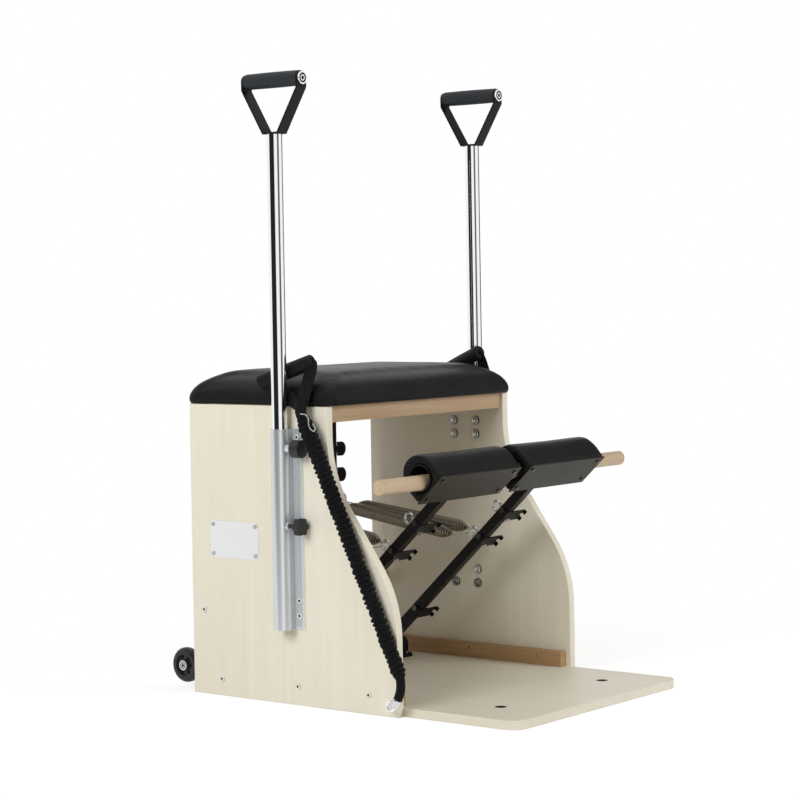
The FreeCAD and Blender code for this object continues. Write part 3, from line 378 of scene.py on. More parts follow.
def weave(name, color, rough, pitch, specular=0.15):
    """Woven cloth: two crossing sets of threads."""
    look, tree, bsdf = shader(name, color, rough, specular=specular)
    waves = []
    for scale in THREAD_SETS:
        wave = tree.nodes.new("ShaderNodeTexWave")
        wave.wave_type = "BANDS"
        wave.bands_direction = "DIAGONAL"
        wave.inputs["Scale"].default_value = THREAD_WAVES / pitch
        wave.inputs["Distortion"].default_value = THREAD_WOBBLE
        tree.links.new(placed(tree, scale), wave.inputs["Vector"])
        waves.append(wave.outputs["Fac"])
    join = tree.nodes.new("ShaderNodeMath")
    join.operation = "MULTIPLY"
    for wave, target in zip(waves, join.inputs):
        tree.links.new(wave, target)
    threads = join.outputs["Value"]
    light = [c * THREAD_LIGHT for c in color]
    tree.links.new(ramp(tree, threads, [(0.1, color), (0.9, light)]), bsdf.inputs["Base Color"])
    bsdf.inputs["Sheen Weight"].default_value = WEAVE_FUZZ
    bsdf.inputs["Sheen Roughness"].default_value = WEAVE_FUZZ_ROUGHNESS
    bump(tree, bsdf, threads, WEAVE_RELIEF, WEAVE_DEPTH)
    return look


# Materials of the part

CREAM, CREAM_DARK = (0.835, 0.79, 0.675), (0.80, 0.75, 0.63)
BOARD, BOARD_DARK = (0.79, 0.745, 0.635), (0.755, 0.705, 0.59)
PINE, PINE_DARK = (0.54, 0.395, 0.255), (0.44, 0.30, 0.175)
# Cleats: darker, more saturated pine than the rails, partly the wood's own tone and partly painted
# shade
CLEAT, CLEAT_DARK = (0.47, 0.30, 0.155), (0.36, 0.215, 0.10)
BEECH, BEECH_DARK = (0.57, 0.435, 0.30), (0.49, 0.36, 0.235)
PINE_GRAIN = {"rough": 0.5, "grain": 90, "stretch": 20, "strength": 0.35}
BEECH_GRAIN = {"rough": 0.4, "grain": 110, "stretch": 12, "strength": 0.2}
panel_look = wood("panel_laminate", CREAM, CREAM_DARK, axis=2)
board_look = wood("board_laminate", BOARD, BOARD_DARK, axis=1)
pine_look = wood("pine", PINE, PINE_DARK, axis=0, **PINE_GRAIN)
cleat_and_shade_look = wood("pine_cleat_and_shade", CLEAT, CLEAT_DARK, axis=1, **PINE_GRAIN)
beech_look = wood("beech", BEECH, BEECH_DARK, axis=0, **BEECH_GRAIN)

leather_look = leather("leatherette", (0.0095, 0.0095, 0.010), 0.36)
strap_look = weave("strap_webbing", (0.006, 0.006, 0.0065), 0.75, pitch=0.0022)
sleeve_look = weave("elastic_sleeve", (0.0045, 0.0045, 0.005), 0.8, pitch=0.0016)

STEEL, PLATE, BLACK = (0.0065, 0.006, 0.0065), (0.020, 0.017, 0.0115), (0.021, 0.022, 0.022)
FOAM, STRAP_FOAM = (0.021, 0.024, 0.028), (0.0075, 0.0078, 0.0085)
FOAM_GRAIN = {"size": 2600, "strength": 0.5, "depth": 0.0004, "edge": 0.0}
steel_look = coated("black_powder_coat", STEEL, 0.38, size=1800, strength=0.12, specular=0.14)
plate_look = coated("pad_plate_steel", PLATE, 0.44, size=700, strength=0.05, specular=0.15)
foam_look = coated("grip_foam", FOAM, 0.62, specular=0.25, **FOAM_GRAIN)
strap_foam_look = coated("strap_grip_foam", STRAP_FOAM, 0.62, specular=0.2, **FOAM_GRAIN)
plastic_look = coated("black_plastic", BLACK, 0.38, size=900, strength=0.08)
tyre_look = coated("wheel_polyurethane", (0.016, 0.016, 0.017), 0.34, size=700, strength=0.06)
nylon_look = coated("nylon", (0.62, 0.62, 0.58), 0.45, size=900, strength=0.06)

POLISHED = {"strength": 0.0, "edge": 0.0, "streaks": 0.02, "spread": 0.006}
BRIGHT = {"strength": 0.05, "edge": 0.0, "streaks": 0.06, "spread": 0.04}
SMALL_EDGE = 0.0006
EVEN = (500, 500, 500)
chrome_look = metal("chrome", (0.90, 0.90, 0.91), 0.055, (40, 40, 3), **POLISHED)
hook_look = metal("bright_zinc", (0.66, 0.66, 0.66), 0.15, (300, 300, 300), **BRIGHT)
zinc_look = metal("zinc", (0.62, 0.62, 0.62), 0.3, EVEN, strength=0.12, edge=SMALL_EDGE)
spring_look = metal("spring_wire", (0.27, 0.235, 0.19), 0.15, (700, 700, 700), strength=0.04,
                    edge=0.0)
socket_look = drawn("anodised_aluminium", (0.70, 0.725, 0.75), 0.34)
name_look = metal("nameplate_aluminium", (0.87, 0.87, 0.89), 0.30, (40, 6, 900), strength=0.01,
                  metallic=0.45, streaks=0.03)
screw_look = metal("dark_screws", (0.09, 0.088, 0.085), 0.3, EVEN, edge=SMALL_EDGE)
washer_look = metal("washer", (0.13, 0.125, 0.11), 0.45, EVEN, metallic=0.5)
cup_look = metal("washer_cup", (0.92, 0.91, 0.88), 0.28, EVEN, strength=0.05, metallic=0.6,
                 edge=0.0)
pan_look = metal("pan_heads", (0.85, 0.84, 0.81), 0.34, EVEN, strength=0.08, metallic=0.15)

NODE_LOOKS = {
    panel_look: ["left_panel", "right_panel"],
    board_look: ["base_board"],
    pine_look: ["front_seat_rail", "rear_seat_rail", "rear_cross_rail", "seat_board"],
    cleat_and_shade_look: ["base_cleats"],
    beech_look: ["connecting_dowel"],
    steel_look: ["spring_posts", "axle_blocks", "left_arm", "right_arm", "left_brackets",
                 "right_brackets", "left_handle_frame", "right_handle_frame", "wheel_plates"],
    plate_look: ["left_pad_plate", "right_pad_plate"],
    chrome_look: ["left_pole", "right_pole", "left_handle_caps", "right_handle_caps",
                  "bungee_rings"],
    hook_look: ["left_eye_bolts", "right_eye_bolts", "left_spring_hooks", "right_spring_hooks",
                "left_spring_loops", "right_spring_loops"],
    zinc_look: ["wood_screws", "pedal_axle", "wheel_axles"],
    pan_look: ["panel_bolts"],
    screw_look: ["left_pedal_screws", "right_pedal_screws"],
    washer_look: ["socket_washers"],
    socket_look: ["left_pole_socket", "right_pole_socket"],
    name_look: ["nameplate"],
    plastic_look: ["left_plunger", "right_plunger", "left_clamp_knob", "right_clamp_knob",
                   "board_inserts"],
    tyre_look: ["left_wheel", "right_wheel"],
    nylon_look: ["axle_bushes"],
}
for look, names in NODE_LOOKS.items():
    for name in names:
        nodes[name].data.materials.clear()
        nodes[name].data.materials.append(look)


# Elastic tubes in their gathered sleeves

BUNGEE_ROUTES = {
    "left": [(-0.332, 0.075, 0.583), (-0.332, 0.0345, 0.503), (-0.3275, -0.0395, 0.3345),
             (-0.3235, -0.132, 0.134), (-0.323, -0.154, 0.086), (-0.323, -0.1565, 0.0682),
             (-0.323, -0.1534, 0.0505), (-0.323, -0.1452, 0.0344), (-0.323, -0.1395, 0.0262)],
    "right": [(0.346, 0.103, 0.583), (0.366, 0.122, 0.545), (0.366, 0.1148, 0.475),
              (0.366, 0.1075, 0.403), (0.366, 0.100, 0.330), (0.3505, 0.0495, 0.242),
              (0.330, -0.017, 0.126), (0.323, -0.040, 0.086), (0.323, -0.0425, 0.0682),
              (0.323, -0.0394, 0.0505), (0.323, -0.0312, 0.0344), (0.323, -0.0255, 0.0262)],
}
TUBE_POINTS = 620
TUBE_SIDES = 30
TAIL_RADIUS = 0.009
RUFFLES = 50
RUFFLE_HEIGHT, RUFFLE_POWER = 0.0054, 0.7
# Noise that moves the folds and changes their height: amount, waves round the tube, waves a fold
FOLD_SHIFT, SHIFT_ROUND, SHIFT_ALONG = 0.55, 1.3, 0.35
FOLD_CHANGE, CHANGE_ROUND, CHANGE_ALONG = 0.35, 1.7, 0.8
# Steps that set the noise of the two sides, and of height and shift, apart
SHIFT_SIDE, CHANGE_SIDE, CHANGE_START = 9, 5, 4
SLEEVE_RADIUS = 0.0118
SLEEVE_TAPER, SLEEVE_TAPER_SHARE = 0.0020, 0.6
SLEEVE_SHARE = 0.905
SLEEVE_START, SLEEVE_RISE, SLEEVE_FALL = 0.25, 0.05, 0.02


def ruffle(around, phase, hand):
    """Height of the sleeve's folds, uneven round the tube and along it."""
    step = Vector((0, 0, phase * SHIFT_ALONG + hand * SHIFT_SIDE))
    shift = noise.noise(around * SHIFT_ROUND + step) * FOLD_SHIFT
    fold = abs(math.sin(math.pi * (phase + shift)))
    step = Vector((CHANGE_START, hand * CHANGE_SIDE, phase * CHANGE_ALONG))
    wild = 1 + FOLD_CHANGE * noise.noise(around * CHANGE_ROUND + step)
    return RUFFLE_HEIGHT * wild * fold ** RUFFLE_POWER


def add_bungee(name, hand):
    """Elastic tube in a gathered sleeve: uneven ruffles that shrink towards a smooth tail."""
    line, length = even_line(nurbs_line(BUNGEE_ROUTES[name]), TUBE_POINTS)
    sections = []
    for i in range(TUBE_POINTS):
        share = i / (TUBE_POINTS - 1)
        phase = share / SLEEVE_SHARE * RUFFLES
        inside = min(1.0, SLEEVE_START + share / SLEEVE_RISE,
                     max(0.0, (SLEEVE_SHARE - share) / SLEEVE_FALL))
        fat = SLEEVE_RADIUS - SLEEVE_TAPER * min(1.0, share / SLEEVE_TAPER_SHARE)
        section = []
        for x, y in circle(1, TUBE_SIDES):
            height = ruffle(Vector((x, y, 0)), phase, hand)
            radius = TAIL_RADIUS + inside * (fat - TAIL_RADIUS + height)
            section.append((radius * x, radius * y))
        sections.append(section)
    obj = sweep(name + "_elastic_tube", line, sections, (1, 0, 0))
    dress(obj, sleeve_look, "chair", "webbing", name + "_bungee")
    return obj, line, length


bungees = {name: add_bungee(name, hand) for name, hand in SIDES}


# Webbing loops; the points are for the left side and are flipped for the right one

STRAP_RINGS = {"left": (-0.332, 0.078, 0.594), "right": (-0.340, 0.105, 0.594)}
STRAP_TURN = (-0.3118, 0.112, 0.613)
GRIP_LOW = (-0.311, 0.205, 0.646)
GRIP_HIGH = (-0.281, 0.087, 0.690)
GRIP_INSIDE = 0.12
LOW_BEND, HIGH_BENDS = 0.4, (0.3, 0.75)
STRAP_THICK = 0.0026
LOW_WIDTHS = (0.020, 0.027, 0.029, 0.028, 0.022)
HIGH_WIDTHS = (0.020, 0.028, 0.030, 0.030, 0.024)
LOW_ACROSS = [(0, 0.3, 1)] * 3 + [(0, 0, 1), (0, 0.2, 1)]
HIGH_ACROSS = [(0, 1, 0.3)] * 2 + [(0, 1, 0)] * 3
RIBBON_STEPS, RIBBON_POINTS = 24, 60
# Section of the webbing in shares of its half width and half thickness
RIBBON_OUTLINE = [(-1, -0.4), (-0.97, -1), (-0.5, -1), (0, -1), (0.5, -1), (0.97, -1), (1, -0.4),
                  (1, 0.4), (0.97, 1), (0.5, 1), (0, 1), (-0.5, 1), (-0.97, 1), (-1, 0.4)]


def ribbon(name, points, across, widths):
    """Flat webbing with rounded edges along a smooth line of points."""
    line, _ = even_line(nurbs_line(points, RIBBON_STEPS), RIBBON_POINTS)
    knots = np.linspace(0, 1, len(points))
    shares = np.linspace(0, 1, RIBBON_POINTS)
    verts = []
    for p, t, s in zip(line, line_tangents(line), shares):
        wide = np.array([np.interp(s, knots, [u[i] for u in across]) for i in range(3)])
        wide = wide - t * wide.dot(t)
        wide /= np.linalg.norm(wide)
        deep = np.cross(t, wide)
        half = np.interp(s, knots, widths) / 2
        verts += [p + wide * a * half + deep * b * STRAP_THICK / 2 for a, b in RIBBON_OUTLINE]
    return add_mesh(name, verts, ring_faces(RIBBON_POINTS, len(RIBBON_OUTLINE)))


def flipped(points, hand):
    return [(-hand * p[0], p[1], p[2]) for p in points]


def between(a, b, share):
    return tuple(p + (q - p) * share for p, q in zip(a, b))


def add_strap(name, hand):
    """Webbing loop through a foam grip, drawn together at the ring."""
    ring = STRAP_RINGS[name]
    low_route = [between(GRIP_LOW, GRIP_HIGH, GRIP_INSIDE), GRIP_LOW,
                 between(GRIP_LOW, STRAP_TURN, LOW_BEND), STRAP_TURN, ring]
    high_route = [between(GRIP_HIGH, GRIP_LOW, GRIP_INSIDE), GRIP_HIGH,
                  *(between(GRIP_HIGH, ring, share) for share in HIGH_BENDS), ring]
    low = ribbon(name + "_strap_low", flipped(low_route, hand), flipped(LOW_ACROSS, hand),
                 LOW_WIDTHS)
    high = ribbon(name + "_strap_high", flipped(high_route, hand), flipped(HIGH_ACROSS, hand),
                  HIGH_WIDTHS)
    dress(low, strap_look, "chair", "webbing", "handle_straps")
    dress(high, strap_look, "chair", "webbing", "handle_straps")
    return [low, high]


# Folded ends of the webbing, snap hook and metal sleeves

WRAP_POINTS, WRAP_SIDES = 24, 32
# Steps of the folded end from the elastic's top and then from the ring
WRAP_BELOW = ((0, 0, -0.004), (0, 0, 0))
WRAP_ABOVE = ((0, 0, -0.004), (0, 0, 0.004), (0, 0.002, 0.012), (0, 0.004, 0.020))
# (shares of the way, half widths) and (shares of the way, half depths)
WRAP_WIDE = ((0, 0.2, 0.5, 0.75, 1), (0.0115, 0.0122, 0.0135, 0.0150, 0.0120))
WRAP_DEEP = ((0, 0.3, 0.7, 1), (0.0112, 0.0095, 0.0070, 0.0045))
WRAP_CRIMP, WRAP_CRIMP_WAVE = 0.03, 40
SNAP_OUT = 0.010
SNAP_ROUTE = ((-0.004, 0.004), (-0.016, 0.006), (-0.026, -0.004), (-0.024, -0.016),
              (-0.030, -0.026), (-0.040, -0.030), (-0.043, -0.022), (-0.036, -0.014))
SNAP_POINTS, SNAP_WIRE, SNAP_SIDES = 60, 0.0013, 10
CLIP_POINTS, CLIP_SIDES = 18, 28
CLIP_RADII = ((0, 0.12, 0.8, 1), (0.0093, 0.0099, 0.0097, 0.0092))


def add_strap_end(name, hand):
    """End of the webbing folded round the ring."""
    ring = Vector(flipped([STRAP_RINGS[name]], hand)[0])
    top = Vector(BUNGEE_ROUTES[name][0])
    route = [top + Vector(step) for step in WRAP_BELOW]
    route += [ring + Vector(step) for step in WRAP_ABOVE]
    line, _ = even_line(np.array(route), WRAP_POINTS)
    sections = []
    for i in range(WRAP_POINTS):
        share = i / (WRAP_POINTS - 1)
        crimp = 1 + WRAP_CRIMP * math.sin(share * WRAP_CRIMP_WAVE)
        wide = np.interp(share, *WRAP_WIDE) * crimp
        deep = np.interp(share, *WRAP_DEEP) * crimp
        sections.append([(deep * x, wide * y) for x, y in circle(1, WRAP_SIDES)])
    wrap = sweep(name + "_strap_end", line, sections, (0, 1, 0))
    return dress(wrap, strap_look, "chair", "webbing")


def add_snap(name, hand):
    """Small wire hook that hangs beside the strap's end."""
    top = Vector(BUNGEE_ROUTES[name][0])
    route = [tuple(top + Vector((hand * SNAP_OUT, y, z))) for y, z in SNAP_ROUTE]
    wire, _ = even_line(nurbs_line(route), SNAP_POINTS)
    sections = [circle(SNAP_WIRE, SNAP_SIDES)] * SNAP_POINTS
    hook = sweep(name + "_strap_snap", wire, sections, (1, 0, 0))
    dress(hook, hook_look, "chair", "chrome")


def add_tail_clip(name):
    """Metal sleeve crimped on the tail's end."""
    line = bungees[name][1][-CLIP_POINTS:]
    radii = np.interp(np.linspace(0, 1, CLIP_POINTS), *CLIP_RADII)
    sections = [circle(r, CLIP_SIDES) for r in radii]
    clip = sweep(name + "_tail_clip", line, sections, (1, 0, 0))
    return dress(clip, hook_look, "chair", "chrome")


# Foam grips of the straps and handles

FOAM_SWELL = 0.0006
FOAM_ROUND = 0.35
FOAM_ROUND_STEPS, FOAM_STEPS, FOAM_SIDES = 5, 24, 40
# A direction that no grip lies along
FOAM_UP = (0.2, 0.1, 1.0)
FOAM_MOUTH, FOAM_MOUTH_DEPTH, FOAM_RIM = 0.001, 0.004, 0.0015
# Radius and bore
STRAP_GRIP = (0.0155, 0.006)
HANDLE_GRIP = (0.016, 0.012)


def foam_tube(name, start, end, radius, bore):
    """Foam grip with softly rounded, hollow ends and a slight swell."""
    a, b = np.array(start), np.array(end)
    length = np.linalg.norm(b - a)
    radius -= FOAM_SWELL
    soft = min(radius * FOAM_ROUND, radius - bore - FOAM_RIM)
    tip = [(FOAM_MOUTH_DEPTH, bore), (0.0, bore + FOAM_MOUTH)]
    for k in range(FOAM_ROUND_STEPS + 1):
        angle = math.pi / 2 * k / FOAM_ROUND_STEPS
        tip.append((soft * (1 - math.cos(angle)), radius - soft * (1 - math.sin(angle))))
    profile = list(tip)
    for k in range(1, FOAM_STEPS):
        share = k / FOAM_STEPS
        profile.append((soft + (length - 2 * soft) * share,
                        radius + FOAM_SWELL * math.sin(math.pi * share)))
    profile += [(length - x, r) for x, r in reversed(tip)]
    along = (b - a) / length
    side = np.cross(along, FOAM_UP)
    side /= np.linalg.norm(side)
    normal = np.cross(side, along)
    verts = [a + along * x + side * u + normal * v
             for x, r in profile for u, v in circle(r, FOAM_SIDES)]
    return add_mesh(name, verts, ring_faces(len(profile), FOAM_SIDES))


for name, hand in SIDES:
    straps = add_strap(name, hand) + [add_strap_end(name, hand)]
    if name == "left":
        add_snap(name, hand)
    straps.append(add_tail_clip(name))
    low, high = flipped([GRIP_LOW, GRIP_HIGH], hand)
    grip = foam_tube(name + "_strap_foam", low, high, *STRAP_GRIP)
    dress(grip, strap_foam_look, "chair", "foam", "strap_grips")


# Small turned pieces: cups and heads inside the panels; painted-shade sockets in the heads, bolts
# and handle caps

# Profiles are (distance from the face, radius); dark marks start sunk and end proud of a face
SUNK, PROUD, POINT = -0.0004, 0.0002, 0.0001
CUP = [(-0.0008, 0.0088), (0.0010, 0.0086), (0.0021, 0.0078), (0.0021, 0.0072), (0.0008, 0.0062)]
# Black disc in the cup round the head: painted shade in the cup's well
CUP_WELL_SHADE = [(SUNK, 0.0064), (0.0010, 0.0064), (0.0010, POINT)]
CUP_HEAD = [(0.0, 0.0047), (0.0026, 0.0047), (0.0034, 0.0040), (0.0037, 0.0030), (0.0037, POINT)]
# Black hexagon on the head: painted shade of its socket
CUP_SOCKET_SHADE = [(0.003, 0.0017), (0.0039, 0.0016), (0.0039, POINT)]
# Black hexagons on the bolt and axle heads: painted shade of their sockets
BOLT_SOCKET_SHADES = (("panel_bolts", 0.0030), ("wheel_axles", 0.0034))
BOLT_SOCKET_TAPER = 0.97
AXLE_RIM = [(SUNK, 0.0068), (PROUD, 0.0066), (PROUD, 0.0052), (SUNK, 0.0051)]
# Black ring and hexagon on the handle caps: painted shade of the groove and the socket
CAP_GROOVE_SHADE = [(SUNK, 0.0102), (PROUD, 0.0100), (PROUD, 0.0064), (SUNK, 0.0062)]
CAP_SOCKET_SHADE = [(SUNK, 0.0034), (PROUD, 0.0033), (PROUD, POINT)]
HEXAGON, ROUND, HEAD_SIDES = 6, 32, 24
SAME_PLACE_DECIMALS = 3


def islands(mesh):
    """Points of each connected patch of a mesh."""
    parent = list(range(len(mesh.vertices)))

    def root(i):
        while parent[i] != i:
            parent[i] = parent[parent[i]]
            i = parent[i]
        return i

    for edge in mesh.edges:
        a, b = (root(i) for i in edge.vertices)
        parent[a] = b
    groups = {}
    for vertex in mesh.vertices:
        groups.setdefault(root(vertex.index), []).append(np.array(vertex.co))
    return [np.array(points) for points in groups.values()]


def end_faces(node, outer=True):
    """Middle and outward sign of the outer or inner end of every piece that lies along X."""
    ends = {}
    for points in islands(nodes[node].data):
        low, high = points.min(axis=0), points.max(axis=0)
        middle = (low + high) / 2
        outward = 1 if middle[0] > 0 else -1
        reaches = abs(low[0]), abs(high[0])
        reach = max(reaches) if outer else -min(reaches)
        spot = (*np.round(middle[1:], SAME_PLACE_DECIMALS), outward)
        if spot not in ends or reach > ends[spot][0]:
            ends[spot] = (reach, (outward * abs(reach), middle[1], middle[2]))
    return [(face, spot[-1]) for spot, (_, face) in sorted(ends.items())]


def turned(name, centre, sign, profile, count=ROUND, about="X"):
    """Body of revolution that stands on a face and points along X or Y."""
    verts = []
    for x, r in profile:
        for u, v in circle(r, count):
            step = (sign * x, u, v) if about == "X" else (v, sign * x, u)
            verts.append([c + d for c, d in zip(centre, step)])
    faces = ring_faces(len(profile), count)
    if sign < 0:
        faces = [face[::-1] for face in faces]
    return add_mesh(name, verts, faces, False)


def add_cup_screws():
    """Cup and round head on every washer inside the panels, with painted shade in the cup's well
    and the head's socket.
    """
    for number, (face, outward) in enumerate(end_faces("socket_washers", False), 1):
        cup = turned(f"washer_cup_{number}", face, -outward, CUP)
        dress(cup, cup_look, "chair", "zinc")
        well_shade = turned(f"washer_well_shade_{number}", face, -outward, CUP_WELL_SHADE)
        dress(well_shade, steel_look, "chair", "black_steel")
        head = turned(f"socket_screw_{number}", face, -outward, CUP_HEAD, HEAD_SIDES)
        dress(head, cup_look, "chair", "zinc")
        socket_shade = turned(f"screw_socket_shade_{number}", face, -outward, CUP_SOCKET_SHADE, HEXAGON)
        dress(socket_shade, steel_look, "chair", "black_steel")


def add_bolt_socket_shades():
    """Painted-shade hexagons for the sockets in the heads of the panel bolts and of the wheel
    axles, and a dark rim on each axle head.
    """
    for node, radius in BOLT_SOCKET_SHADES:
        profile = [(SUNK, radius), (PROUD, radius * BOLT_SOCKET_TAPER), (PROUD, POINT)]
        for number, (face, outward) in enumerate(end_faces(node), 1):
            socket_shade = turned(f"{node}_socket_{number}", face, outward, profile, HEXAGON)
            dress(socket_shade, steel_look, "chair", "black_steel")
            if node == "wheel_axles":
                rim = turned(f"{node}_rim_{number}", face, outward, AXLE_RIM)
                dress(rim, steel_look, "chair", "black_steel")


def add_cap_screw_shades():
    """Painted shade of the groove and the screw socket in the end caps of the handles."""
    for name, _ in SIDES:
        points = np.array([v.co for v in nodes[name + "_handle_caps"].data.vertices])
        low, high = points.min(axis=0), points.max(axis=0)
        middle = (low + high) / 2
        for end, outward, y in (("front", -1, low[1]), ("rear", 1, high[1])):
            face = (middle[0], y, middle[2])
            groove_shade = turned(f"{name}_cap_groove_shade_{end}", face, outward, CAP_GROOVE_SHADE, about="Y")
            dress(groove_shade, steel_look, name + "_pole_set", "black_steel")
            socket_shade = turned(f"{name}_cap_socket_shade_{end}", face, outward, CAP_SOCKET_SHADE, HEXAGON, "Y")
            dress(socket_shade, steel_look, name + "_pole_set", "black_steel")


add_cup_screws()
add_bolt_socket_shades()
add_cap_screw_shades()


# Handle grips

for name, _ in SIDES:
    low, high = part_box(name + "_handle_grip")
    middle = (low + high) / 2
    ends = (middle.x, low.y, middle.z), (middle.x, high.y, middle.z)
    grip = foam_tube(name + "_grip_foam", *ends, *HANDLE_GRIP)
    dress(grip, foam_look, name + "_pole_set", "foam", name + "_handle_grip")


# Springs: close wound wire with tapered ends, from a peg of the post to an eye of the arm

PEG = (0.3818, 0.363)
LOW_EYE = (0.0541, 0.3065)
HIGH_EYE = (0.039, 0.317)
SPRING_LINES = {
    ("left", "a"): ((-0.143, *PEG), (-0.169, *LOW_EYE)),
    ("left", "b"): ((-0.103, *PEG), (-0.133, *HIGH_EYE)),
    ("right", "a"): ((0.103, *PEG), (0.130, *LOW_EYE)),
    ("right", "b"): ((0.143, *PEG), (0.166, *HIGH_EYE)),
}
SPRING_TURNS = 54
TURN_POINTS = 22
LOOP_LENGTH = 0.050
COIL_LEAD, LEAD_BEND = 0.006, 0.5
COIL_TIP_RADIUS, COIL_GROWTH = 0.0015, 0.0100
TAPER_TURNS, TAPER_POWER = 4, 0.6
WIRE_RADIUS, WIRE_SIDES = 0.0023, 10


def add_spring(name, rear, front):
    rear, front = np.array(rear), np.array(front)
    along = (front - rear) / np.linalg.norm(front - rear)
    across = np.cross(along, (0, 0, 1))
    across /= np.linalg.norm(across)
    up = np.cross(across, along)
    start = rear + along * LOOP_LENGTH
    wound = np.linalg.norm(front - start) - 2 * COIL_LEAD
    line = [start, start + along * COIL_LEAD * LEAD_BEND]
    for i in range(SPRING_TURNS * TURN_POINTS + 1):
        turn = i / TURN_POINTS
        grow = min(1.0, min(turn, SPRING_TURNS - turn) / TAPER_TURNS) ** TAPER_POWER
        radius = COIL_TIP_RADIUS + COIL_GROWTH * grow
        angle = 2 * math.pi * turn
        middle = start + along * (COIL_LEAD + wound * turn / SPRING_TURNS)
        line.append(middle + across * radius * math.cos(angle) + up * radius * math.sin(angle))
    line += [front - along * COIL_LEAD * LEAD_BEND, front]
    obj = sweep(name, line, [circle(WIRE_RADIUS, WIRE_SIDES)] * len(line))
    obj.data.materials.append(spring_look)
    return obj, start, front


for (name, letter), (rear, front) in SPRING_LINES.items():
    coil, start, end = add_spring(name + "_coil_" + letter, rear, front)
    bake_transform(coil)
    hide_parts(name + "_springs")


# Covers of the seat cushion and the pedal pads

COVER_CAP, LEAST_MOVE = 0.004, 1e-9
COVER_SMOOTHING = 0.5
COVER_PRESSURE = 3.0
CLOTH_FRAMES = 20
CLOTH_SETTINGS = {"quality": 5, "mass": 0.3, "tension_stiffness": 25, "compression_stiffness": 25,
                  "bending_stiffness": 15, "use_pressure": True,
                  "uniform_pressure_force": COVER_PRESSURE}
CUSHION_VOXEL, CUSHION_SHRINK, CUSHION_ROUNDS = 0.006, 0.0005, 7
CUSHION_HELD, CUSHION_FADE, CUSHION_UNDER = 0.2, 0.2, -0.2
PAD_VOXEL, PAD_SHRINK, PAD_ROUNDS = 0.005, 0.002, 3
PEDAL_TILT = math.radians(43.1)
PEDAL_AXLE = (0.267, 0.045)
CROSS_TUBE_REACH = 0.616
PAD_BORE, PAD_BORE_FADE = 0.0285, 0.006
PAD_BASE, PAD_BASE_FADE = 0.026, 0.008


def remeshed(name, node, voxel):
    """Copy of a solid with an even mesh, its points and their normals."""
    obj = bpy.data.objects.new(name, nodes[node].data.copy())
    scene.collection.objects.link(obj)
    step = obj.modifiers.new("voxels", "REMESH")
    step.mode = "VOXEL"
    step.voxel_size = voxel
    bpy.context.view_layer.update()
    graph = bpy.context.evaluated_depsgraph_get()
    mesh = bpy.data.meshes.new_from_object(obj.evaluated_get(graph))
    obj.modifiers.clear()
    obj.data = mesh
    points = np.array([v.co for v in mesh.vertices], float)
    normals = np.array([v.normal for v in mesh.vertices], float)
    return obj, points, normals


def blown_up(obj, free):
    """Points of the cover after a short cloth run under pressure."""
    held = obj.vertex_groups.new(name="held")
    for index in np.nonzero(free < 1)[0]:
        held.add([int(index)], float(1 - free[index]), "REPLACE")
    cloth = obj.modifiers.new("cloth", "CLOTH")
    for key, value in CLOTH_SETTINGS.items():
        setattr(cloth.settings, key, value)
    cloth.settings.effector_weights.gravity = 0
    cloth.settings.vertex_group_mass = "held"
    cloth.point_cache.frame_start = 1
    cloth.point_cache.frame_end = CLOTH_FRAMES
    for step in range(1, CLOTH_FRAMES + 1):
        scene.frame_set(step)
    result = obj.evaluated_get(bpy.context.evaluated_depsgraph_get())
    moved = np.array([v.co for v in result.data.vertices], float)
    obj.modifiers.clear()
    obj.vertex_groups.clear()
    scene.frame_set(1)
    return moved


def swell(obj, points, free):
    """Blow the cover up like a stuffed pad where free is 1, and cap how far any point moves."""
    mesh = obj.data
    mesh.vertices.foreach_set("co", points.ravel())
    mesh.update()
    moved = blown_up(obj, free)
    shift = moved - points
    size = np.linalg.norm(shift, axis=1)
    shift *= (np.minimum(size, COVER_CAP) / np.maximum(size, LEAST_MOVE) * free)[:, None]
    mesh.vertices.foreach_set("co", (points + shift).ravel())
    mesh.update()


def finish_cover(obj, body, node, rounds):
    even = obj.modifiers.new("even", "SMOOTH")
    even.factor = COVER_SMOOTHING
    even.iterations = rounds
    fine = obj.modifiers.new("fine", "SUBSURF")
    fine.levels = fine.render_levels = 1
    obj.data.polygons.foreach_set("use_smooth", [True] * len(obj.data.polygons))
    dress(obj, leather_look, body, "leatherette", node)


def add_cushion():
    obj, points, normals = remeshed("seat_cushion_cover", "seat_cushion", CUSHION_VOXEL)
    low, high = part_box("seat_cushion")
    rise = (points[:, 2] - low.z) / (high.z - low.z)
    free = np.clip((rise - CUSHION_HELD) / CUSHION_FADE, 0, 1)
    free *= normals[:, 2] > CUSHION_UNDER
    points = points - normals * (CUSHION_SHRINK * free)[:, None]
    swell(obj, points, free)
    finish_cover(obj, "chair", "seat_cushion", rounds=CUSHION_ROUNDS)


def add_pad(name):
    """Pad cover, held in its bore round the cross tube and along the pad plate."""
    obj, points, normals = remeshed(name + "_pad_cover", name + "_pad", PAD_VOXEL)
    y, z = points[:, 1] - PEDAL_AXLE[0], points[:, 2] - PEDAL_AXLE[1]
    along = -y * math.cos(PEDAL_TILT) + z * math.sin(PEDAL_TILT)
    off = y * math.sin(PEDAL_TILT) + z * math.cos(PEDAL_TILT)
    reach = np.hypot(along - CROSS_TUBE_REACH, off)
    free = np.clip((reach - PAD_BORE) / PAD_BORE_FADE, 0, 1)
    free *= np.clip((off + PAD_BASE) / PAD_BASE_FADE, 0, 1)
    points = points - normals * (PAD_SHRINK * free)[:, None]
    swell(obj, points, free)
    finish_cover(obj, name + "_pedal", name + "_pad", rounds=PAD_ROUNDS)


add_cushion()
for name, _ in SIDES:
    add_pad(name)


# Floor, light and background

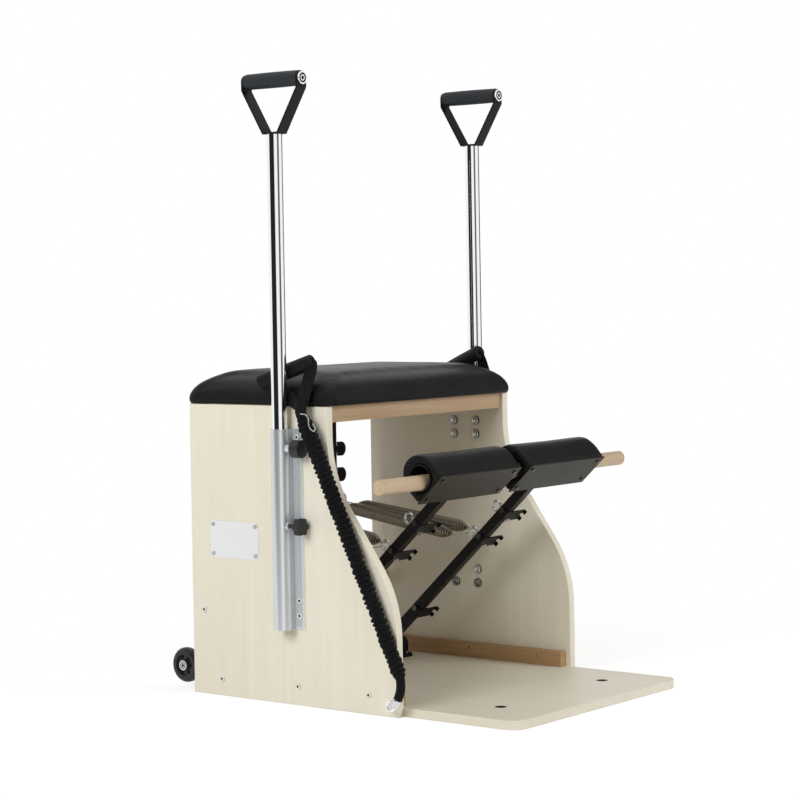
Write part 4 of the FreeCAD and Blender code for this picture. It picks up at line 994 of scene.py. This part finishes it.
SOFT_LIGHT, SOFT_STRENGTH = (1.0, 0.925, 0.80), 0.33
FLOOR_SIZE, FLOOR_Z = 12, -0.0005
FLOOR_BOUNCE, FLOOR_SHADE = (0.8, 0.8, 0.8), (0.4, 0.4, 0.4)
FLOOR_GLOW = 0.74
SHADOW_FROM, SHADOW_TO = 0.5, 1.3
CARD_LOW, CARD_HIGH = -0.5, 3.2
LAMP_COLOR = (0.955, 0.985, 1.0)


def shown_rays(tree):
    """1 for rays that show the background: straight from the camera, mirrored or passed through."""
    rays = tree.nodes.new("ShaderNodeLightPath")
    value = rays.outputs["Is Camera Ray"]
    for other in ("Is Glossy Ray", "Is Transmission Ray"):
        join = tree.nodes.new("ShaderNodeMath")
        join.operation = "MAXIMUM"
        tree.links.new(value, join.inputs[0])
        tree.links.new(rays.outputs[other], join.inputs[1])
        value = join.outputs["Value"]
    return value


def add_world():
    """White where it is seen, and a softer, warmer light on the part."""
    world = bpy.data.worlds.new("studio")
    scene.world = world
    world.use_nodes = True
    tree = world.node_tree
    tree.nodes.clear()
    out = tree.nodes.new("ShaderNodeOutputWorld")
    mix = tree.nodes.new("ShaderNodeMixShader")
    soft = tree.nodes.new("ShaderNodeBackground")
    white = tree.nodes.new("ShaderNodeBackground")
    soft.inputs["Color"].default_value = (*SOFT_LIGHT, 1)
    soft.inputs["Strength"].default_value = SOFT_STRENGTH
    white.inputs["Color"].default_value = (*WHITE, 1)
    white.inputs["Strength"].default_value = 1.0
    tree.links.new(shown_rays(tree), mix.inputs["Fac"])
    tree.links.new(soft.outputs["Background"], mix.inputs[1])
    tree.links.new(white.outputs["Background"], mix.inputs[2])
    tree.links.new(mix.outputs["Shader"], out.inputs["Surface"])


def bare_material(name):
    look = bpy.data.materials.new(name)
    look.use_nodes = True
    tree = look.node_tree
    tree.nodes.clear()
    return look, tree, tree.nodes.new("ShaderNodeOutputMaterial")


def add_floor():
    """White ground: it takes the object's shadow close by and is plain white further off."""
    corners = [(x * FLOOR_SIZE, y * FLOOR_SIZE, FLOOR_Z)
               for x, y in ((-1, -1), (1, -1), (1, 1), (-1, 1))]
    floor = add_mesh("floor", corners, [(0, 1, 2, 3)], False)
    look, tree, out = bare_material("floor_white")
    plain = tree.nodes.new("ShaderNodeBsdfDiffuse")
    plain.inputs["Color"].default_value = (*FLOOR_BOUNCE, 1)
    matte = tree.nodes.new("ShaderNodeBsdfDiffuse")
    matte.inputs["Color"].default_value = (*FLOOR_SHADE, 1)
    glow = tree.nodes.new("ShaderNodeEmission")
    glow.inputs["Strength"].default_value = FLOOR_GLOW
    white = tree.nodes.new("ShaderNodeEmission")
    white.inputs["Strength"].default_value = 1.0
    near = tree.nodes.new("ShaderNodeAddShader")
    fade = tree.nodes.new("ShaderNodeMixShader")
    mix = tree.nodes.new("ShaderNodeMixShader")
    coords = tree.nodes.new("ShaderNodeTexCoord")
    away = tree.nodes.new("ShaderNodeVectorMath")
    away.operation = "LENGTH"
    reach = tree.nodes.new("ShaderNodeMapRange")
    reach.interpolation_type = "SMOOTHSTEP"
    reach.inputs["From Min"].default_value = SHADOW_FROM
    reach.inputs["From Max"].default_value = SHADOW_TO
    tree.links.new(coords.outputs["Object"], away.inputs[0])
    tree.links.new(away.outputs["Value"], reach.inputs["Value"])
    tree.links.new(matte.outputs["BSDF"], near.inputs[0])
    tree.links.new(glow.outputs["Emission"], near.inputs[1])
    tree.links.new(reach.outputs["Result"], fade.inputs["Fac"])
    tree.links.new(near.outputs["Shader"], fade.inputs[1])
    tree.links.new(white.outputs["Emission"], fade.inputs[2])
    tree.links.new(shown_rays(tree), mix.inputs["Fac"])
    tree.links.new(plain.outputs["BSDF"], mix.inputs[1])
    tree.links.new(fade.outputs["Shader"], mix.inputs[2])
    tree.links.new(mix.outputs["Shader"], out.inputs["Surface"])
    floor.data.materials.append(look)


def add_card(name, start, end, level):
    """Upright card beside the set that only mirrors show, from one ground point to another."""
    corners = [(*start, CARD_LOW), (*end, CARD_LOW), (*end, CARD_HIGH), (*start, CARD_HIGH)]
    card = add_mesh(name, corners, [(0, 1, 2, 3)], False)
    look, tree, out = bare_material(name)
    tone = tree.nodes.new("ShaderNodeEmission")
    tone.inputs["Strength"].default_value = level
    tree.links.new(tone.outputs["Emission"], out.inputs["Surface"])
    card.data.materials.append(look)
    card.visible_camera = False
    card.visible_diffuse = False
    card.visible_shadow = False
    card.visible_transmission = False


def add_lamp(name, place, target, size, power, mirrored):
    data = bpy.data.lights.new(name, "AREA")
    data.shape = "RECTANGLE"
    data.size, data.size_y = size
    data.energy = power
    data.color = LAMP_COLOR
    lamp = bpy.data.objects.new(name, data)
    lamp.location = place
    aim = Vector(target) - Vector(place)
    lamp.rotation_euler = aim.to_track_quat("-Z", "Y").to_euler()
    lamp.visible_glossy = mirrored
    scene.collection.objects.link(lamp)


add_world()
add_floor()
add_card("dark_card", (-2.69, -1.33), (-2.37, 1.83), level=0.02)
add_card("grey_card", (-1.02, -2.82), (0.43, -2.80), level=0.13)
add_card("edge_card", (3.0, -1.2), (3.0, 1.0), level=0.12)
add_lamp("key", (-4.0, -0.1, 2.2), (0, 0, 0.45), (2.2, 2.0), power=108, mirrored=False)
add_lamp("front", (1.3, -4.0, 1.9), (0, 0, 0.4), (2.0, 2.0), power=95, mirrored=False)
add_lamp("top", (0.2, 0.3, 4.2), (0, 0, 0.5), (2.5, 2.5), power=14, mirrored=True)
